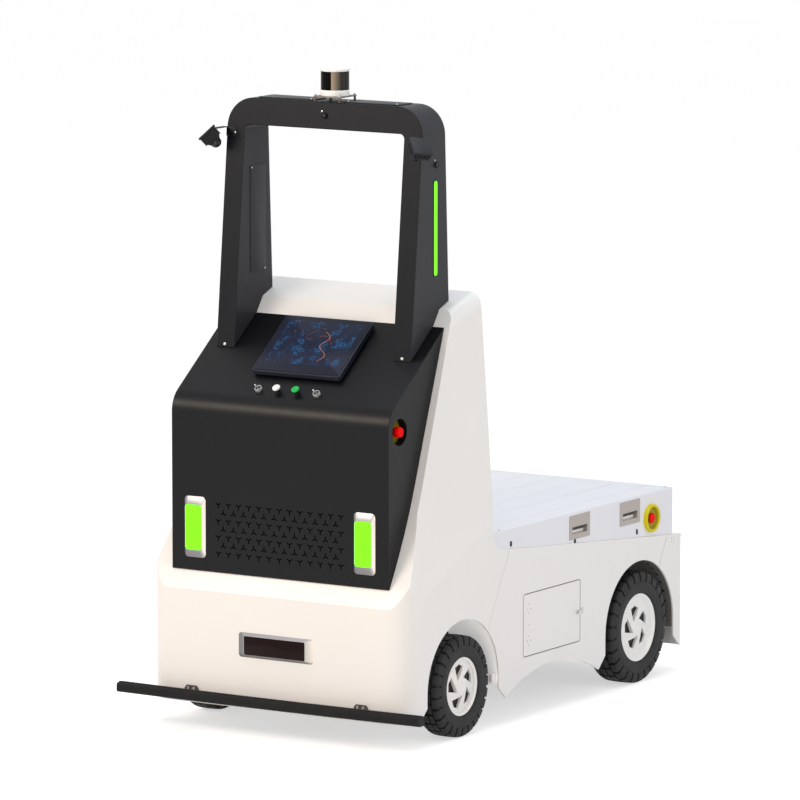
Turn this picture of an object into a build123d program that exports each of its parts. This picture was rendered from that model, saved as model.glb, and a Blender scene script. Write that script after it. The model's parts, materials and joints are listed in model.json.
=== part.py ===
from build123d import *
import os
from math import atan2, cos, degrees, radians, sin

os.makedirs("parts", exist_ok=True)

# A driverless airport tow tractor, in millimetres. Z is up, the front faces -Y and the left side is +X.
# The origin lies on the ground under the middle of the whole length.

# Overall width, from the middle to the body's side
BODY_HALF = 640

# Running gear
WHEELBASE = 1445
FRONT_OVERHANG = 522
REAR_OVERHANG = 455
FRONT_TYRE_RADIUS = 212
FRONT_TYRE_WIDTH = 110
FRONT_RIM_RADIUS = 126
REAR_TYRE_RADIUS = 242
REAR_TYRE_WIDTH = 132
REAR_RIM_RADIUS = 150
KINGPIN_RADIUS = 15
SPINDLE_RADIUS = 20
STEERING_ARM = 120
KINGPIN_INSET = 150
RUNNING_GAP = 0.08
SEAT_GAP = 0.2

FRONT_AXLE_Y = (FRONT_OVERHANG - WHEELBASE - REAR_OVERHANG) / 2
REAR_AXLE_Y = FRONT_AXLE_Y + WHEELBASE
KINGPIN_X = BODY_HALF - KINGPIN_INSET

# Lower body: stations ahead of or behind an axle, heights above the ground
WALL = 8
BODY_BOTTOM = 112
FACE_AT = -428
FACE_Y = FRONT_AXLE_Y + FACE_AT
CREASE_Z = 585
CORNER_RADIUS = 110
FRONT_ARCH_RADIUS = 280
REAR_ARCH_RADIUS = 290
ARCH_FLARE = 56
ARCH_FLARE_HEIGHT = 52
SEAM = 3
REAR_FACE_AT = 370
REAR_FACE_Y = REAR_AXLE_Y + REAR_FACE_AT
REAR_CORNER_RADIUS = 28
SCALLOP_RISE = 96
SEAM_TOP_AT = 364
SEAM_TOP_Y = FRONT_AXLE_Y + SEAM_TOP_AT
SEAM_FOOT_AT = 191
SEAM_FOOT_Y = FRONT_AXLE_Y + SEAM_FOOT_AT
SEAM_FOOT_Z = 420
REAR_SEAM_TOP_AT = 235
REAR_SEAM_TOP_Y = REAR_AXLE_Y + REAR_SEAM_TOP_AT
REAR_SEAM_LEAN = 0.54

# Cowl: the white fairing above the front wheels
LEDGE_AT = -394
LEDGE_Y = FRONT_AXLE_Y + LEDGE_AT
LEDGE_Z = 661
BEND_AT = -195
BEND_Y = FRONT_AXLE_Y + BEND_AT
BEND_Z = 1075
BROW_AT = 29
BROW_Y = FRONT_AXLE_Y + BROW_AT
BROW_Z = 1691
LIP_AT = 76
LIP_Y = FRONT_AXLE_Y + LIP_AT
LIP_Z = 1756
BACK_AT = 235
BACK_Y = FRONT_AXLE_Y + BACK_AT
ROOF_Z = 1818
ROOF_RADIUS = 60
SHOULDER_FRONT_AT = -319
SHOULDER_FRONT_Z = 622
SHOULDER_REAR_AT = 214
SHOULDER_REAR_Z = 853
PEAK_AT = -218
PEAK_Z = 955
PEAK_INSET = 70
ROOF_INSET = 60
ROOF_CORNER_Z = 1755

# Console: the black cover between the cowl's rims
CONSOLE_INSET = 111
CONSOLE_HALF = BODY_HALF - CONSOLE_INSET
CONSOLE_WALL = 6
CONSOLE_AT = -402
CONSOLE_Y = FRONT_AXLE_Y + CONSOLE_AT
CONSOLE_BEND_RADIUS = 110
CONSOLE_SLOPE = 0.7405
GRILLE_WIDTH = 660
GRILLE_BOTTOM = 708
GRILLE_TOP = 976
SLOT_ROWS = 7
SLOT_COUNT = 13
SLOT_PITCH = 50
SLOT_ROW_PITCH = 34
SLOT_TOP_Z = 944
SLOT_ARM = 15
SLOT_WIDTH = 5
STOP_AT = -316
STOP_Y = FRONT_AXLE_Y + STOP_AT
STOP_Z = 1300
STOP_CUP_RADIUS = 55
STOP_CUP_DEPTH = 38
STOP_DISC = 4
STOP_HEAD_RADIUS = 22
STOP_HEAD_HEIGHT = 18
LAMP_INSET = 115
LAMP_X = CONSOLE_HALF - LAMP_INSET
LAMP_Z = 843
LAMP_WIDTH = 100
LAMP_HEIGHT = 255
LAMP_CORNER = 18
LAMP_DEPTH = 18
LENS_WIDTH = 81
LENS_HEIGHT = 190
LENS_CORNER = 14
LENS_PROUD = 4
DISPLAY_Z = 377
DISPLAY_WIDTH = 367
DISPLAY_HEIGHT = 104
DISPLAY_CORNER = 14
DISPLAY_DEPTH = 12
SCREEN_WIDTH = 335
SCREEN_HEIGHT = 76
SCREEN_CORNER = 6
TABLET_AT = -131
TABLET_Y = FRONT_AXLE_Y + TABLET_AT
TABLET_WIDTH = 430
TABLET_LENGTH = 335
TABLET_DEPTH = 26
TABLET_LIFT = 8
TABLET_BEZEL = 18
TABLET_GLASS = 3
CONTROL_AT = -332
CONTROL_Y = FRONT_AXLE_Y + CONTROL_AT
CONTROL_COLLAR = 5

# Deck lid: load deck with side skirts, hinged at its front edge
DECK_Z = 815
DECK_INSET = 9
DECK_HALF = BODY_HALF - DECK_INSET
DECK_FRONT_AT = 250
DECK_FRONT_Y = FRONT_AXLE_Y + DECK_FRONT_AT
DECK_REAR_AT = 292
DECK_REAR_Y = REAR_AXLE_Y + DECK_REAR_AT
LID_WALL = 8
LID_REST_GAP = 0.4
SKIRT_FRONT_AT = 316
SKIRT_FRONT_Y = FRONT_AXLE_Y + SKIRT_FRONT_AT
SKIRT_FRONT_Z = 738
SKIRT_REAR_Z = 600
SKIRT_CORNER_RADIUS = 60
PANEL_FLANGE = 34
HINGE_Y = DECK_FRONT_Y + 2
HINGE_Z = DECK_Z - 12
HINGE_PIN_RADIUS = 5
HINGE_EYE_RADIUS = 10
HINGE_EYE = 30
HINGE_EAR = 8
HINGE_SIDE_GAP = 1
HINGE_NOTCH = 15
HINGE_INSET = 231
HINGE_PLACES = (HINGE_INSET - DECK_HALF, DECK_HALF - HINGE_INSET)
GROOVE_PITCH = 150
GROOVE_COUNT = 8
GROOVE_WIDTH = 8
GROOVE_DEPTH = 2
GROOVE_END = 30
HANDLE_FRONT_AT = -496
HANDLE_REAR_AT = -74
HANDLE_PLACES = (REAR_AXLE_Y + HANDLE_FRONT_AT, REAR_AXLE_Y + HANDLE_REAR_AT)
HANDLE_Z = 751
HANDLE_WIDTH = 168
HANDLE_HEIGHT = 103
HANDLE_RIM = 20
HANDLE_DEPTH = 36
HANDLE_SHEET = 2.5
DECK_STOP_AT = 105
DECK_STOP_Y = REAR_AXLE_Y + DECK_STOP_AT
DECK_STOP_Z = 703
DECK_STOP_RADIUS = 61
DECK_STOP_DEPTH = 22

# Side doors
DOOR_FRONT_AT = 476
DOOR_FRONT_Y = FRONT_AXLE_Y + DOOR_FRONT_AT
DOOR_REAR_ROOM = 501
DOOR_LENGTH = REAR_AXLE_Y - DOOR_REAR_ROOM - DOOR_FRONT_Y
DOOR_BOTTOM = 259
DOOR_HEIGHT = 267
DOOR_CORNER_RADIUS = 15
DOOR_GAP = 3
DOOR_HINGE_GAP = 0.6

# Frame, battery and wheel liners
RAIL_INSET = 340
RAIL_X = BODY_HALF - RAIL_INSET
RAIL_WIDTH = 60
RAIL_BOTTOM = 300
RAIL_HEIGHT = 100
CROSS_WIDTH = 60
CROSS_HEIGHT = 60
CROSS_DROP = 20
CROSS_END = 140
OUTRIGGER_ROOM = 80
OUTRIGGER_PLACES = (DOOR_FRONT_Y - OUTRIGGER_ROOM, DOOR_FRONT_Y + DOOR_LENGTH + OUTRIGGER_ROOM)
BATTERY_Y = DOOR_FRONT_Y + DOOR_LENGTH / 2
CROSS_PLACES = (FACE_Y + CROSS_END, BATTERY_Y, REAR_FACE_Y - CROSS_END / 2)
BATTERY_INSET = 210
BATTERY_WIDTH = 2 * (BODY_HALF - BATTERY_INSET)
BATTERY_LENGTH = DOOR_LENGTH + 3 * OUTRIGGER_ROOM
BATTERY_HEIGHT = 330
LINER = 4
LINER_DROP = 40
LINER_WIDTH = 200

# Front axle, steering and rear axle
BEAM_HEIGHT = 60
BEAM_WIDTH = 70
FORK_INSET = 50
FORK_X = KINGPIN_X - FORK_INSET
FORK_WEB = 25
FORK_HALF = 62
FORK_EAR = 16
BOSS_RADIUS = 30
SPINDLE_INSET = 40
ARM_Z = 176
ARM_WIDTH = 36
ARM_HEIGHT = 16
TIE_EYE_HEIGHT = 18
TIE_EYE_RADIUS = 18
TIE_PIN_RADIUS = 8
TIE_ROD_RADIUS = 9
REAR_TUBE_INSET = 140
REAR_TUBE_HALF = BODY_HALF - REAR_TUBE_INSET
REAR_TUBE_RADIUS = 45
REAR_SPINDLE_INSET = 40
REAR_SPINDLE_HALF = BODY_HALF - REAR_SPINDLE_INSET
DIFFERENTIAL_RADIUS = 110
MOTOR_RADIUS = 90
MOTOR_LENGTH = 330

# Wheels
RIM_FLANGE = 6
RIM_LIP = 7
RIM_SHEET = 6
RIM_WINDOWS = 5
TYRE_BEAD = 15
BEAD_HEIGHT = 2
TYRE_SHOULDER = 14
HUB_RADIUS = 36
HUB_LENGTH = 50
HUB_CAP = 12

# Sensor arch over the console
ARCH_INSET = 164
ARCH_HALF = BODY_HALF - ARCH_INSET
ARCH_LEG = 88
ARCH_INNER_HALF = ARCH_HALF - ARCH_LEG
ARCH_TOP = 2595
ARCH_BEAM = 111
ARCH_INNER_TOP = ARCH_TOP - ARCH_BEAM
ARCH_CORNER_RADIUS = 120
ARCH_INNER_RADIUS = 22
ARCH_FOOT_FRONT_AT = -147
ARCH_FOOT_FRONT_Y = FRONT_AXLE_Y + ARCH_FOOT_FRONT_AT
ARCH_FOOT_REAR_AT = 150
ARCH_FOOT_REAR_Y = FRONT_AXLE_Y + ARCH_FOOT_REAR_AT
ARCH_TOP_FRONT_AT = -47
ARCH_TOP_FRONT_Y = FRONT_AXLE_Y + ARCH_TOP_FRONT_AT
ARCH_TOP_REAR_AT = 117
ARCH_TOP_REAR_Y = FRONT_AXLE_Y + ARCH_TOP_REAR_AT
LIDAR_AT = 27
LIDAR_Y = FRONT_AXLE_Y + LIDAR_AT
LIDAR_RADIUS = 57
POST_PLACE = 59
POST_RADIUS = 4
POST_HEIGHT = 23
STAND_PLATE = 4
COVER_INSET = 244
COVER_X = ARCH_HALF - COVER_INSET
COVER_LENGTH = 290
COVER_WIDTH = 104
COVER_SHEET = 4
ACCESS_AT = 28
ACCESS_Y = FRONT_AXLE_Y + ACCESS_AT
ACCESS_Z = 2100
ACCESS_WIDTH = 110
ACCESS_HEIGHT = 440
ACCESS_SHEET = 2
STRIP_AT = 44
STRIP_Y = FRONT_AXLE_Y + STRIP_AT
STRIP_Z = 2094
STRIP_LENGTH = 392
STRIP_WIDTH = 26
STRIP_DEPTH = 4
CORNER_Z = 2450
CORNER_OUT = 43
CORNER_AHEAD = 58
CORNER_PLATE = 84
CORNER_BLOCK = 56
CORNER_DEPTH = 40
CORNER_DOME = 21
BRACE_HEIGHT = 34
BRACE_SHEET = 6
BRACE_LAP = 40
CAMERA_Z = 2540
CAMERA_RADIUS = 13
CAMERA_DEPTH = 10
SIDE_CAMERA_AT = 48
SIDE_CAMERA_Y = FRONT_AXLE_Y + SIDE_CAMERA_AT
SIDE_CAMERA_Z = 2355

# Bumper
BUMPER_OUTSET = 99
BUMPER_HALF = BODY_HALF + BUMPER_OUTSET
BUMPER_DEPTH = 48
BUMPER_HEIGHT = 46
BUMPER_Z = 154
BUMPER_BOW = 14
BUMPER_RIDGE = 6
BRACKET_INSET = 225
BRACKET_X = BODY_HALF - BRACKET_INSET
BRACKET_WIDTH = 60
BRACKET_HEIGHT = 22

# Tow hitch
HITCH_Z = 300
HITCH_BORE_RADIUS = 16.5
HITCH_JAW = 60
HITCH_PLATE = 20
HITCH_HALF = 40
HITCH_BACK = 15

# Rear lamps
REAR_LAMP_INSET = 140
REAR_LAMP_X = BODY_HALF - REAR_LAMP_INSET
REAR_LAMP_Z = 480
REAR_LAMP_WIDTH = 120
REAR_LAMP_HEIGHT = 60
REAR_LAMP_DEPTH = 14


def save(piece, label):
    """Labels a finished piece and writes it."""
    piece.part.label = label
    export_step(piece.part, f"parts/{label}.step")


def slope_z(y):
    """Height of the console's sloping top at a given Y."""
    return CONSOLE_TOP_Z + (y - CONSOLE_Y) * CONSOLE_SLOPE


def roof_z(y):
    """Height of the cowl's sloping roof at a given Y."""
    return LIP_Z + (y - LIP_Y) * (ROOF_Z - LIP_Z) / (BACK_Y - LIP_Y)


def arch_front_y(z):
    """Y of the sensor arch's raked front face."""
    foot_z = slope_z(ARCH_FOOT_FRONT_Y)
    return ARCH_FOOT_FRONT_Y + (ARCH_TOP_FRONT_Y - ARCH_FOOT_FRONT_Y) * (z - foot_z) / (ARCH_TOP - foot_z)


def skirt_z(y):
    """Height of the seam below the deck lid's skirt."""
    return SKIRT_FRONT_Z + (SKIRT_REAR_Z - SKIRT_FRONT_Z) * (y - SKIRT_FRONT_Y) / (REAR_FACE_Y - SKIRT_FRONT_Y)


def seam_y(z):
    """Y of the slanting seam between cowl and side panel."""
    run = (SEAM_TOP_Y - SEAM_FOOT_Y) / (skirt_z(SEAM_TOP_Y) - SEAM_FOOT_Z)
    return SEAM_FOOT_Y + (z - SEAM_FOOT_Z) * run


def rear_seam_y(z):
    """Y of the slanting seam between side panel and rear panel."""
    return REAR_SEAM_TOP_Y + (z - skirt_z(REAR_SEAM_TOP_Y)) * REAR_SEAM_LEAN


def wheel_arch(axle_y, axle_z, radius):
    """Outline of a wheel opening with flared lower corners, in the side view."""
    flare_top = BODY_BOTTOM + ARCH_FLARE_HEIGHT
    low = BODY_BOTTOM - 20
    drift = ARCH_FLARE * (flare_top - low) / ARCH_FLARE_HEIGHT
    with BuildLine() as outline:
        Polyline((axle_y - radius - drift, low), (axle_y - radius, flare_top), (axle_y - radius, axle_z))
        ThreePointArc((axle_y - radius, axle_z), (axle_y, axle_z + radius), (axle_y + radius, axle_z))
        Polyline((axle_y + radius, axle_z), (axle_y + radius, flare_top), (axle_y + radius + drift, low))
        Line((axle_y + radius + drift, low), (axle_y - radius - drift, low))
    return outline.edges()


def through(point_a, point_b, point_c, inset):
    """Plane through three points, its normal outboard, moved inward by an inset."""
    a, b, c = Vector(point_a), Vector(point_b), Vector(point_c)
    normal = (b - a).cross(c - a).normalized()
    if normal.X * a.X < 0:
        normal = normal * -1
    return Plane(origin=a - normal * inset, z_dir=normal)


CONSOLE_TOP_Z = BROW_Z - (BROW_Y - CONSOLE_Y) * CONSOLE_SLOPE
CONSOLE_TILT = degrees(atan2(CONSOLE_SLOPE, 1))
RAKE = (BEND_Y - BROW_Y, BEND_Z - BROW_Z)
SLOPE_NORMAL = (0, -sin(radians(CONSOLE_TILT)), cos(radians(CONSOLE_TILT)))
CONSOLE_DROP = CONSOLE_WALL / cos(radians(CONSOLE_TILT))

# Corners of the cowl's side facets on the left: the shoulder's two ends and its peak, and the roof's rear corner
SHOULDER_FRONT = (BODY_HALF, FRONT_AXLE_Y + SHOULDER_FRONT_AT, SHOULDER_FRONT_Z)
SHOULDER_REAR = (BODY_HALF, FRONT_AXLE_Y + SHOULDER_REAR_AT, SHOULDER_REAR_Z)
SHOULDER_PEAK = (BODY_HALF - PEAK_INSET, FRONT_AXLE_Y + PEAK_AT, PEAK_Z)
ROOF_CORNER = (BODY_HALF - ROOF_INSET, BACK_Y, ROOF_CORNER_Z)


def three_arms(turn):
    """Outline of a slot with three equal arms, the first at a given angle."""
    points = []
    for arm in range(3):
        along = radians(turn + 120 * arm)
        crotch = along + radians(60)
        for edge in (-SLOT_WIDTH / 2, SLOT_WIDTH / 2):
            points.append((SLOT_ARM * cos(along) - edge * sin(along), SLOT_ARM * sin(along) + edge * cos(along)))
        points.append((SLOT_WIDTH / 3**0.5 * cos(crotch), SLOT_WIDTH / 3**0.5 * sin(crotch)))
    return points


def mirrored(point):
    """The same point on the right-hand side."""
    return (-point[0], point[1], point[2])


def cowl_block(inset):
    """The cowl's full outer form or, with an inset, the space inside its walls."""
    half = BODY_HALF - inset
    bottom = BODY_BOTTOM - 2 * inset
    neck = LEDGE_Z - 2 * inset
    with BuildPart() as upper:
        with BuildSketch(Plane.YZ):
            with BuildLine():
                if inset:
                    Line((LEDGE_Y, neck), (LEDGE_Y, LEDGE_Z))
                TangentArc((BEND_Y, BEND_Z), (LEDGE_Y, LEDGE_Z), tangent=RAKE)
                Polyline((BEND_Y, BEND_Z), (BROW_Y, BROW_Z), (LIP_Y, LIP_Z), (BACK_Y, ROOF_Z), (BACK_Y, neck))
                Line((BACK_Y, neck), (LEDGE_Y, neck))
            make_face()
            if inset:
                offset(amount=-inset, kind=Kind.INTERSECTION, mode=Mode.REPLACE)
        extrude(amount=half, both=True)
        for flip in (tuple, mirrored):
            split(
                bisect_by=through(flip(SHOULDER_REAR), flip(SHOULDER_PEAK), flip(ROOF_CORNER), inset),
                keep=Keep.BOTTOM,
            )
        roof_edges = upper.edges().filter_by(lambda e: e.center().Z > LIP_Z and abs(e.center().X) > half / 2)
        roof_edges = roof_edges.filter_by(lambda e: abs(e.tangent_at(0.5).Y) > 0.5)
        fillet(roof_edges, ROOF_RADIUS - inset)
    with BuildPart() as lower:
        with BuildSketch(Plane.XY.offset(bottom)):
            with Locations((0, (FACE_Y + BACK_Y) / 2)):
                Rectangle(2 * half, BACK_Y - FACE_Y - 2 * inset)
            fillet(vertices().sort_by(Axis.Y)[:2], CORNER_RADIUS - inset)
        extrude(amount=SHOULDER_PEAK[2] - bottom)
        with BuildSketch(Plane.YZ):
            with BuildLine():
                Polyline((FACE_Y - WALL, CREASE_Z), (FACE_Y, CREASE_Z), (LEDGE_Y, LEDGE_Z))
                TangentArc((BEND_Y, BEND_Z), (LEDGE_Y, LEDGE_Z), tangent=RAKE)
                Polyline((BEND_Y, BEND_Z), (FACE_Y - WALL, BEND_Z), (FACE_Y - WALL, CREASE_Z))
            make_face()
            if inset:
                offset(amount=inset, kind=Kind.INTERSECTION, mode=Mode.REPLACE)
        extrude(amount=BODY_HALF, both=True, mode=Mode.SUBTRACT)
        for flip in (tuple, mirrored):
            split(
                bisect_by=through(flip(SHOULDER_FRONT), flip(SHOULDER_REAR), flip(SHOULDER_PEAK), inset),
                keep=Keep.BOTTOM,
            )
    with BuildPart() as block:
        add(upper.part)
        add(lower.part)
    return block.part


# Front cowl: one moulding, open below, with wings that run back to the side panels' seam
with BuildPart() as front_cowl:
    add(cowl_block(0))
    with BuildSketch(Plane.YZ):
        Polygon(
            (SEAM_FOOT_Y, SKIRT_FRONT_Z),
            (SKIRT_FRONT_Y, SKIRT_FRONT_Z),
            (SEAM_TOP_Y, skirt_z(SEAM_TOP_Y)),
            (SEAM_FOOT_Y, SEAM_FOOT_Z),
            align=None,
        )
    extrude(amount=BODY_HALF, both=True)
    add(cowl_block(WALL), mode=Mode.SUBTRACT)
    with BuildSketch(Plane.XY):
        with Locations((0, (BACK_Y + SEAM_TOP_Y + WALL) / 2)):
            Rectangle(2 * (BODY_HALF - WALL), SEAM_TOP_Y + WALL - BACK_Y)
    extrude(amount=DECK_Z, mode=Mode.SUBTRACT)
    with BuildSketch(Plane.YZ):
        Polygon(
            (SEAM_TOP_Y, skirt_z(SEAM_TOP_Y)),
            (seam_y(0), 0),
            (SEAM_TOP_Y + WALL, 0),
            (SEAM_TOP_Y + WALL, skirt_z(SEAM_TOP_Y)),
            align=None,
        )
        make_face(wheel_arch(FRONT_AXLE_Y, FRONT_TYRE_RADIUS, FRONT_ARCH_RADIUS))
    extrude(amount=BODY_HALF + WALL, both=True, mode=Mode.SUBTRACT)
save(front_cowl, "front_cowl")

# Console cover: bent sheet with closed sides, open behind where its edges meet the cowl's raked face
with BuildPart() as console_cover:
    with BuildSketch(Plane.YZ):
        with BuildLine():
            Polyline(
                (LEDGE_Y, LEDGE_Z),
                (CONSOLE_Y, LEDGE_Z),
                (CONSOLE_Y, CONSOLE_TOP_Z),
                (BROW_Y, BROW_Z),
                (BEND_Y, BEND_Z),
            )
            TangentArc((BEND_Y, BEND_Z), (LEDGE_Y, LEDGE_Z), tangent=RAKE)
        make_face()
        fillet(vertices().sort_by_distance((CONSOLE_Y, CONSOLE_TOP_Z))[0], CONSOLE_BEND_RADIUS)
    extrude(amount=CONSOLE_HALF, both=True)
    with BuildSketch(Plane.YZ):
        Polygon(
            (CONSOLE_Y + CONSOLE_WALL, LEDGE_Z + 3 * CONSOLE_WALL),
            (CONSOLE_Y + CONSOLE_WALL, slope_z(CONSOLE_Y + CONSOLE_WALL) - CONSOLE_DROP),
            (BROW_Y, BROW_Z - CONSOLE_DROP),
            (BROW_Y, LEDGE_Z + 3 * CONSOLE_WALL),
            align=None,
        )
        bend = (CONSOLE_Y + CONSOLE_WALL, slope_z(CONSOLE_Y + CONSOLE_WALL) - CONSOLE_DROP)
        fillet(vertices().sort_by_distance(bend)[0], CONSOLE_BEND_RADIUS - CONSOLE_WALL)
    extrude(amount=CONSOLE_HALF - CONSOLE_WALL, both=True, mode=Mode.SUBTRACT)
    with BuildSketch(Plane.XZ.offset(-CONSOLE_Y)):
        with Locations((0, (GRILLE_BOTTOM + GRILLE_TOP) / 2)):
            Rectangle(GRILLE_WIDTH, GRILLE_TOP - GRILLE_BOTTOM)
    extrude(amount=-CONSOLE_WALL, mode=Mode.SUBTRACT)
    for side in (1, -1):
        with BuildSketch(Plane(origin=(side * CONSOLE_HALF, STOP_Y, STOP_Z), z_dir=(side, 0, 0))):
            Circle(STOP_CUP_RADIUS + CONSOLE_WALL)
        extrude(amount=-STOP_CUP_DEPTH - CONSOLE_WALL)
        with BuildSketch(Plane(origin=(side * CONSOLE_HALF, STOP_Y, STOP_Z), z_dir=(side, 0, 0))):
            Circle(STOP_CUP_RADIUS)
        extrude(amount=-STOP_CUP_DEPTH, mode=Mode.SUBTRACT)
save(console_cover, "console_cover")

# Grille: the perforated field of the console's front, rows of three-armed slots pointing up and down in turn
with BuildPart() as grille_panel:
    with BuildSketch(Plane.XZ.offset(-CONSOLE_Y)):
        with Locations((0, (GRILLE_BOTTOM + GRILLE_TOP) / 2)):
            Rectangle(GRILLE_WIDTH, GRILLE_TOP - GRILLE_BOTTOM)
        for row in range(SLOT_ROWS):
            count = SLOT_COUNT - row % 2
            turn = 30 if row % 2 == 0 else 90
            with Locations((0, SLOT_TOP_Z - row * SLOT_ROW_PITCH)):
                with GridLocations(SLOT_PITCH, 0, count, 1):
                    Polygon(*three_arms(turn), align=None, mode=Mode.SUBTRACT)
    extrude(amount=-CONSOLE_WALL)
save(grille_panel, "grille_panel")

# Emergency stops in the console's side cups: yellow disc and red mushroom head on each side
with BuildPart() as console_stop_discs:
    for side in (1, -1):
        floor = side * (CONSOLE_HALF - STOP_CUP_DEPTH)
        with BuildSketch(Plane(origin=(floor, STOP_Y, STOP_Z), z_dir=(side, 0, 0))):
            Circle(STOP_CUP_RADIUS - 2)
        extrude(amount=STOP_DISC)
save(console_stop_discs, "console_stop_discs")

with BuildPart() as console_stop_heads:
    for side in (1, -1):
        floor = side * (CONSOLE_HALF - STOP_CUP_DEPTH + STOP_DISC)
        with BuildSketch(Plane(origin=(floor, STOP_Y, STOP_Z), z_dir=(side, 0, 0))):
            Circle(STOP_HEAD_RADIUS * 0.65)
        extrude(amount=STOP_CUP_DEPTH - STOP_DISC - STOP_HEAD_HEIGHT / 2)
        seat = side * (CONSOLE_HALF - STOP_HEAD_HEIGHT / 2)
        with BuildSketch(Plane(origin=(seat, STOP_Y, STOP_Z), z_dir=(side, 0, 0))):
            Circle(STOP_HEAD_RADIUS)
        extrude(amount=STOP_HEAD_HEIGHT)
    rims = console_stop_heads.faces().filter_by(Axis.X)
    for side in (1, -1):
        fillet(rims.sort_by(Axis.X)[-1 if side > 0 else 0].edges(), STOP_HEAD_HEIGHT / 3)
save(console_stop_heads, "console_stop_heads")

# Head lamps on the console's front
with BuildPart() as head_lamp_frames:
    for side in (1, -1):
        with BuildSketch(Plane(origin=(side * LAMP_X, CONSOLE_Y, LAMP_Z), x_dir=(1, 0, 0), z_dir=(0, -1, 0))):
            RectangleRounded(LAMP_WIDTH, LAMP_HEIGHT, LAMP_CORNER)
        extrude(amount=LAMP_DEPTH, taper=12)
        with BuildSketch(Plane(origin=(side * LAMP_X, CONSOLE_Y, LAMP_Z), x_dir=(1, 0, 0), z_dir=(0, -1, 0))):
            RectangleRounded(LENS_WIDTH, LENS_HEIGHT, LENS_CORNER)
        extrude(amount=2 * LAMP_DEPTH, mode=Mode.SUBTRACT)
save(head_lamp_frames, "head_lamp_frames")

with BuildPart() as head_lamp_lenses:
    for side in (1, -1):
        with BuildSketch(Plane(origin=(side * LAMP_X, CONSOLE_Y, LAMP_Z), x_dir=(1, 0, 0), z_dir=(0, -1, 0))):
            RectangleRounded(LENS_WIDTH, LENS_HEIGHT, LENS_CORNER)
        extrude(amount=LAMP_DEPTH + LENS_PROUD)
    fillet(head_lamp_lenses.faces().group_by(Axis.Y)[0].edges(), LENS_PROUD)
save(head_lamp_lenses, "head_lamp_lenses")

# Display on the cowl's front face: bright frame round a dark blank screen
with BuildPart() as display_frame:
    with BuildSketch(Plane(origin=(0, FACE_Y, DISPLAY_Z), x_dir=(1, 0, 0), z_dir=(0, -1, 0))):
        RectangleRounded(DISPLAY_WIDTH, DISPLAY_HEIGHT, DISPLAY_CORNER)
    extrude(amount=DISPLAY_DEPTH, taper=25)
    with BuildSketch(Plane(origin=(0, FACE_Y, DISPLAY_Z), x_dir=(1, 0, 0), z_dir=(0, -1, 0))):
        RectangleRounded(SCREEN_WIDTH, SCREEN_HEIGHT, SCREEN_CORNER)
    extrude(amount=2 * DISPLAY_DEPTH, mode=Mode.SUBTRACT)
save(display_frame, "display_frame")

with BuildPart() as display_screen:
    with BuildSketch(Plane(origin=(0, FACE_Y, DISPLAY_Z), x_dir=(1, 0, 0), z_dir=(0, -1, 0))):
        RectangleRounded(SCREEN_WIDTH, SCREEN_HEIGHT, SCREEN_CORNER)
    extrude(amount=DISPLAY_DEPTH - 2)
save(display_screen, "display_screen")

# Touch screen on the console's slope
TABLET_PLANE = Plane(origin=(0, TABLET_Y, slope_z(TABLET_Y)), x_dir=(1, 0, 0), z_dir=SLOPE_NORMAL)

with BuildPart() as tablet_case:
    with BuildSketch(TABLET_PLANE):
        RectangleRounded(TABLET_WIDTH - 90, TABLET_LENGTH - 90, 12)
    extrude(amount=TABLET_LIFT)
    with BuildSketch(TABLET_PLANE.offset(TABLET_LIFT)):
        RectangleRounded(TABLET_WIDTH, TABLET_LENGTH, 14)
    extrude(amount=TABLET_DEPTH)
    with BuildSketch(TABLET_PLANE.offset(TABLET_LIFT + TABLET_DEPTH)):
        RectangleRounded(TABLET_WIDTH - 2 * TABLET_BEZEL, TABLET_LENGTH - 2 * TABLET_BEZEL, 6)
    extrude(amount=-TABLET_GLASS, mode=Mode.SUBTRACT)
save(tablet_case, "tablet_case")

with BuildPart() as tablet_screen:
    with BuildSketch(TABLET_PLANE.offset(TABLET_LIFT + TABLET_DEPTH)):
        RectangleRounded(TABLET_WIDTH - 2 * TABLET_BEZEL, TABLET_LENGTH - 2 * TABLET_BEZEL, 6)
    extrude(amount=-TABLET_GLASS)
save(tablet_screen, "tablet_screen")

# Controls below the touch screen. Columns: name, sideways places, collar radius, cap radius, cap height
CONTROLS = [
    ("key_switches", (-142, 142), 15, 10, 14),
    ("white_button", (-49,), 15, 11, 10),
    ("green_button", (44,), 15, 11, 10),
]
for name, places, collar, cap, height in CONTROLS:
    with BuildPart() as control:
        for x in places:
            seat = Plane(origin=(x, CONTROL_Y, slope_z(CONTROL_Y)), x_dir=(1, 0, 0), z_dir=SLOPE_NORMAL)
            with BuildSketch(seat):
                Circle(collar)
            extrude(amount=CONTROL_COLLAR)
            with BuildSketch(seat.offset(CONTROL_COLLAR)):
                Circle(cap)
            extrude(amount=height)
    save(control, name)

# Bumper: a rubber bar bowed forward in plan, on two brackets
BUMPER_Y = FRONT_AXLE_Y - FRONT_OVERHANG + BUMPER_DEPTH / 2
BUMPER_ARC = (BUMPER_HALF**2 + BUMPER_BOW**2) / (2 * BUMPER_BOW)

with BuildPart() as bumper:
    with BuildLine() as bow:
        ThreePointArc(
            (-BUMPER_HALF, BUMPER_Y + BUMPER_BOW, BUMPER_Z),
            (0, BUMPER_Y, BUMPER_Z),
            (BUMPER_HALF, BUMPER_Y + BUMPER_BOW, BUMPER_Z),
        )
    with BuildSketch(Plane(origin=bow.line @ 0, x_dir=(0, 0, 1), z_dir=bow.line % 0)):
        RectangleRounded(BUMPER_HEIGHT - BUMPER_RIDGE, BUMPER_DEPTH, 10)
        with Locations((BUMPER_HEIGHT / 2 - BUMPER_RIDGE, 0)):
            Rectangle(BUMPER_RIDGE * 2, BUMPER_DEPTH / 3)
    sweep()
save(bumper, "bumper")

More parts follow.
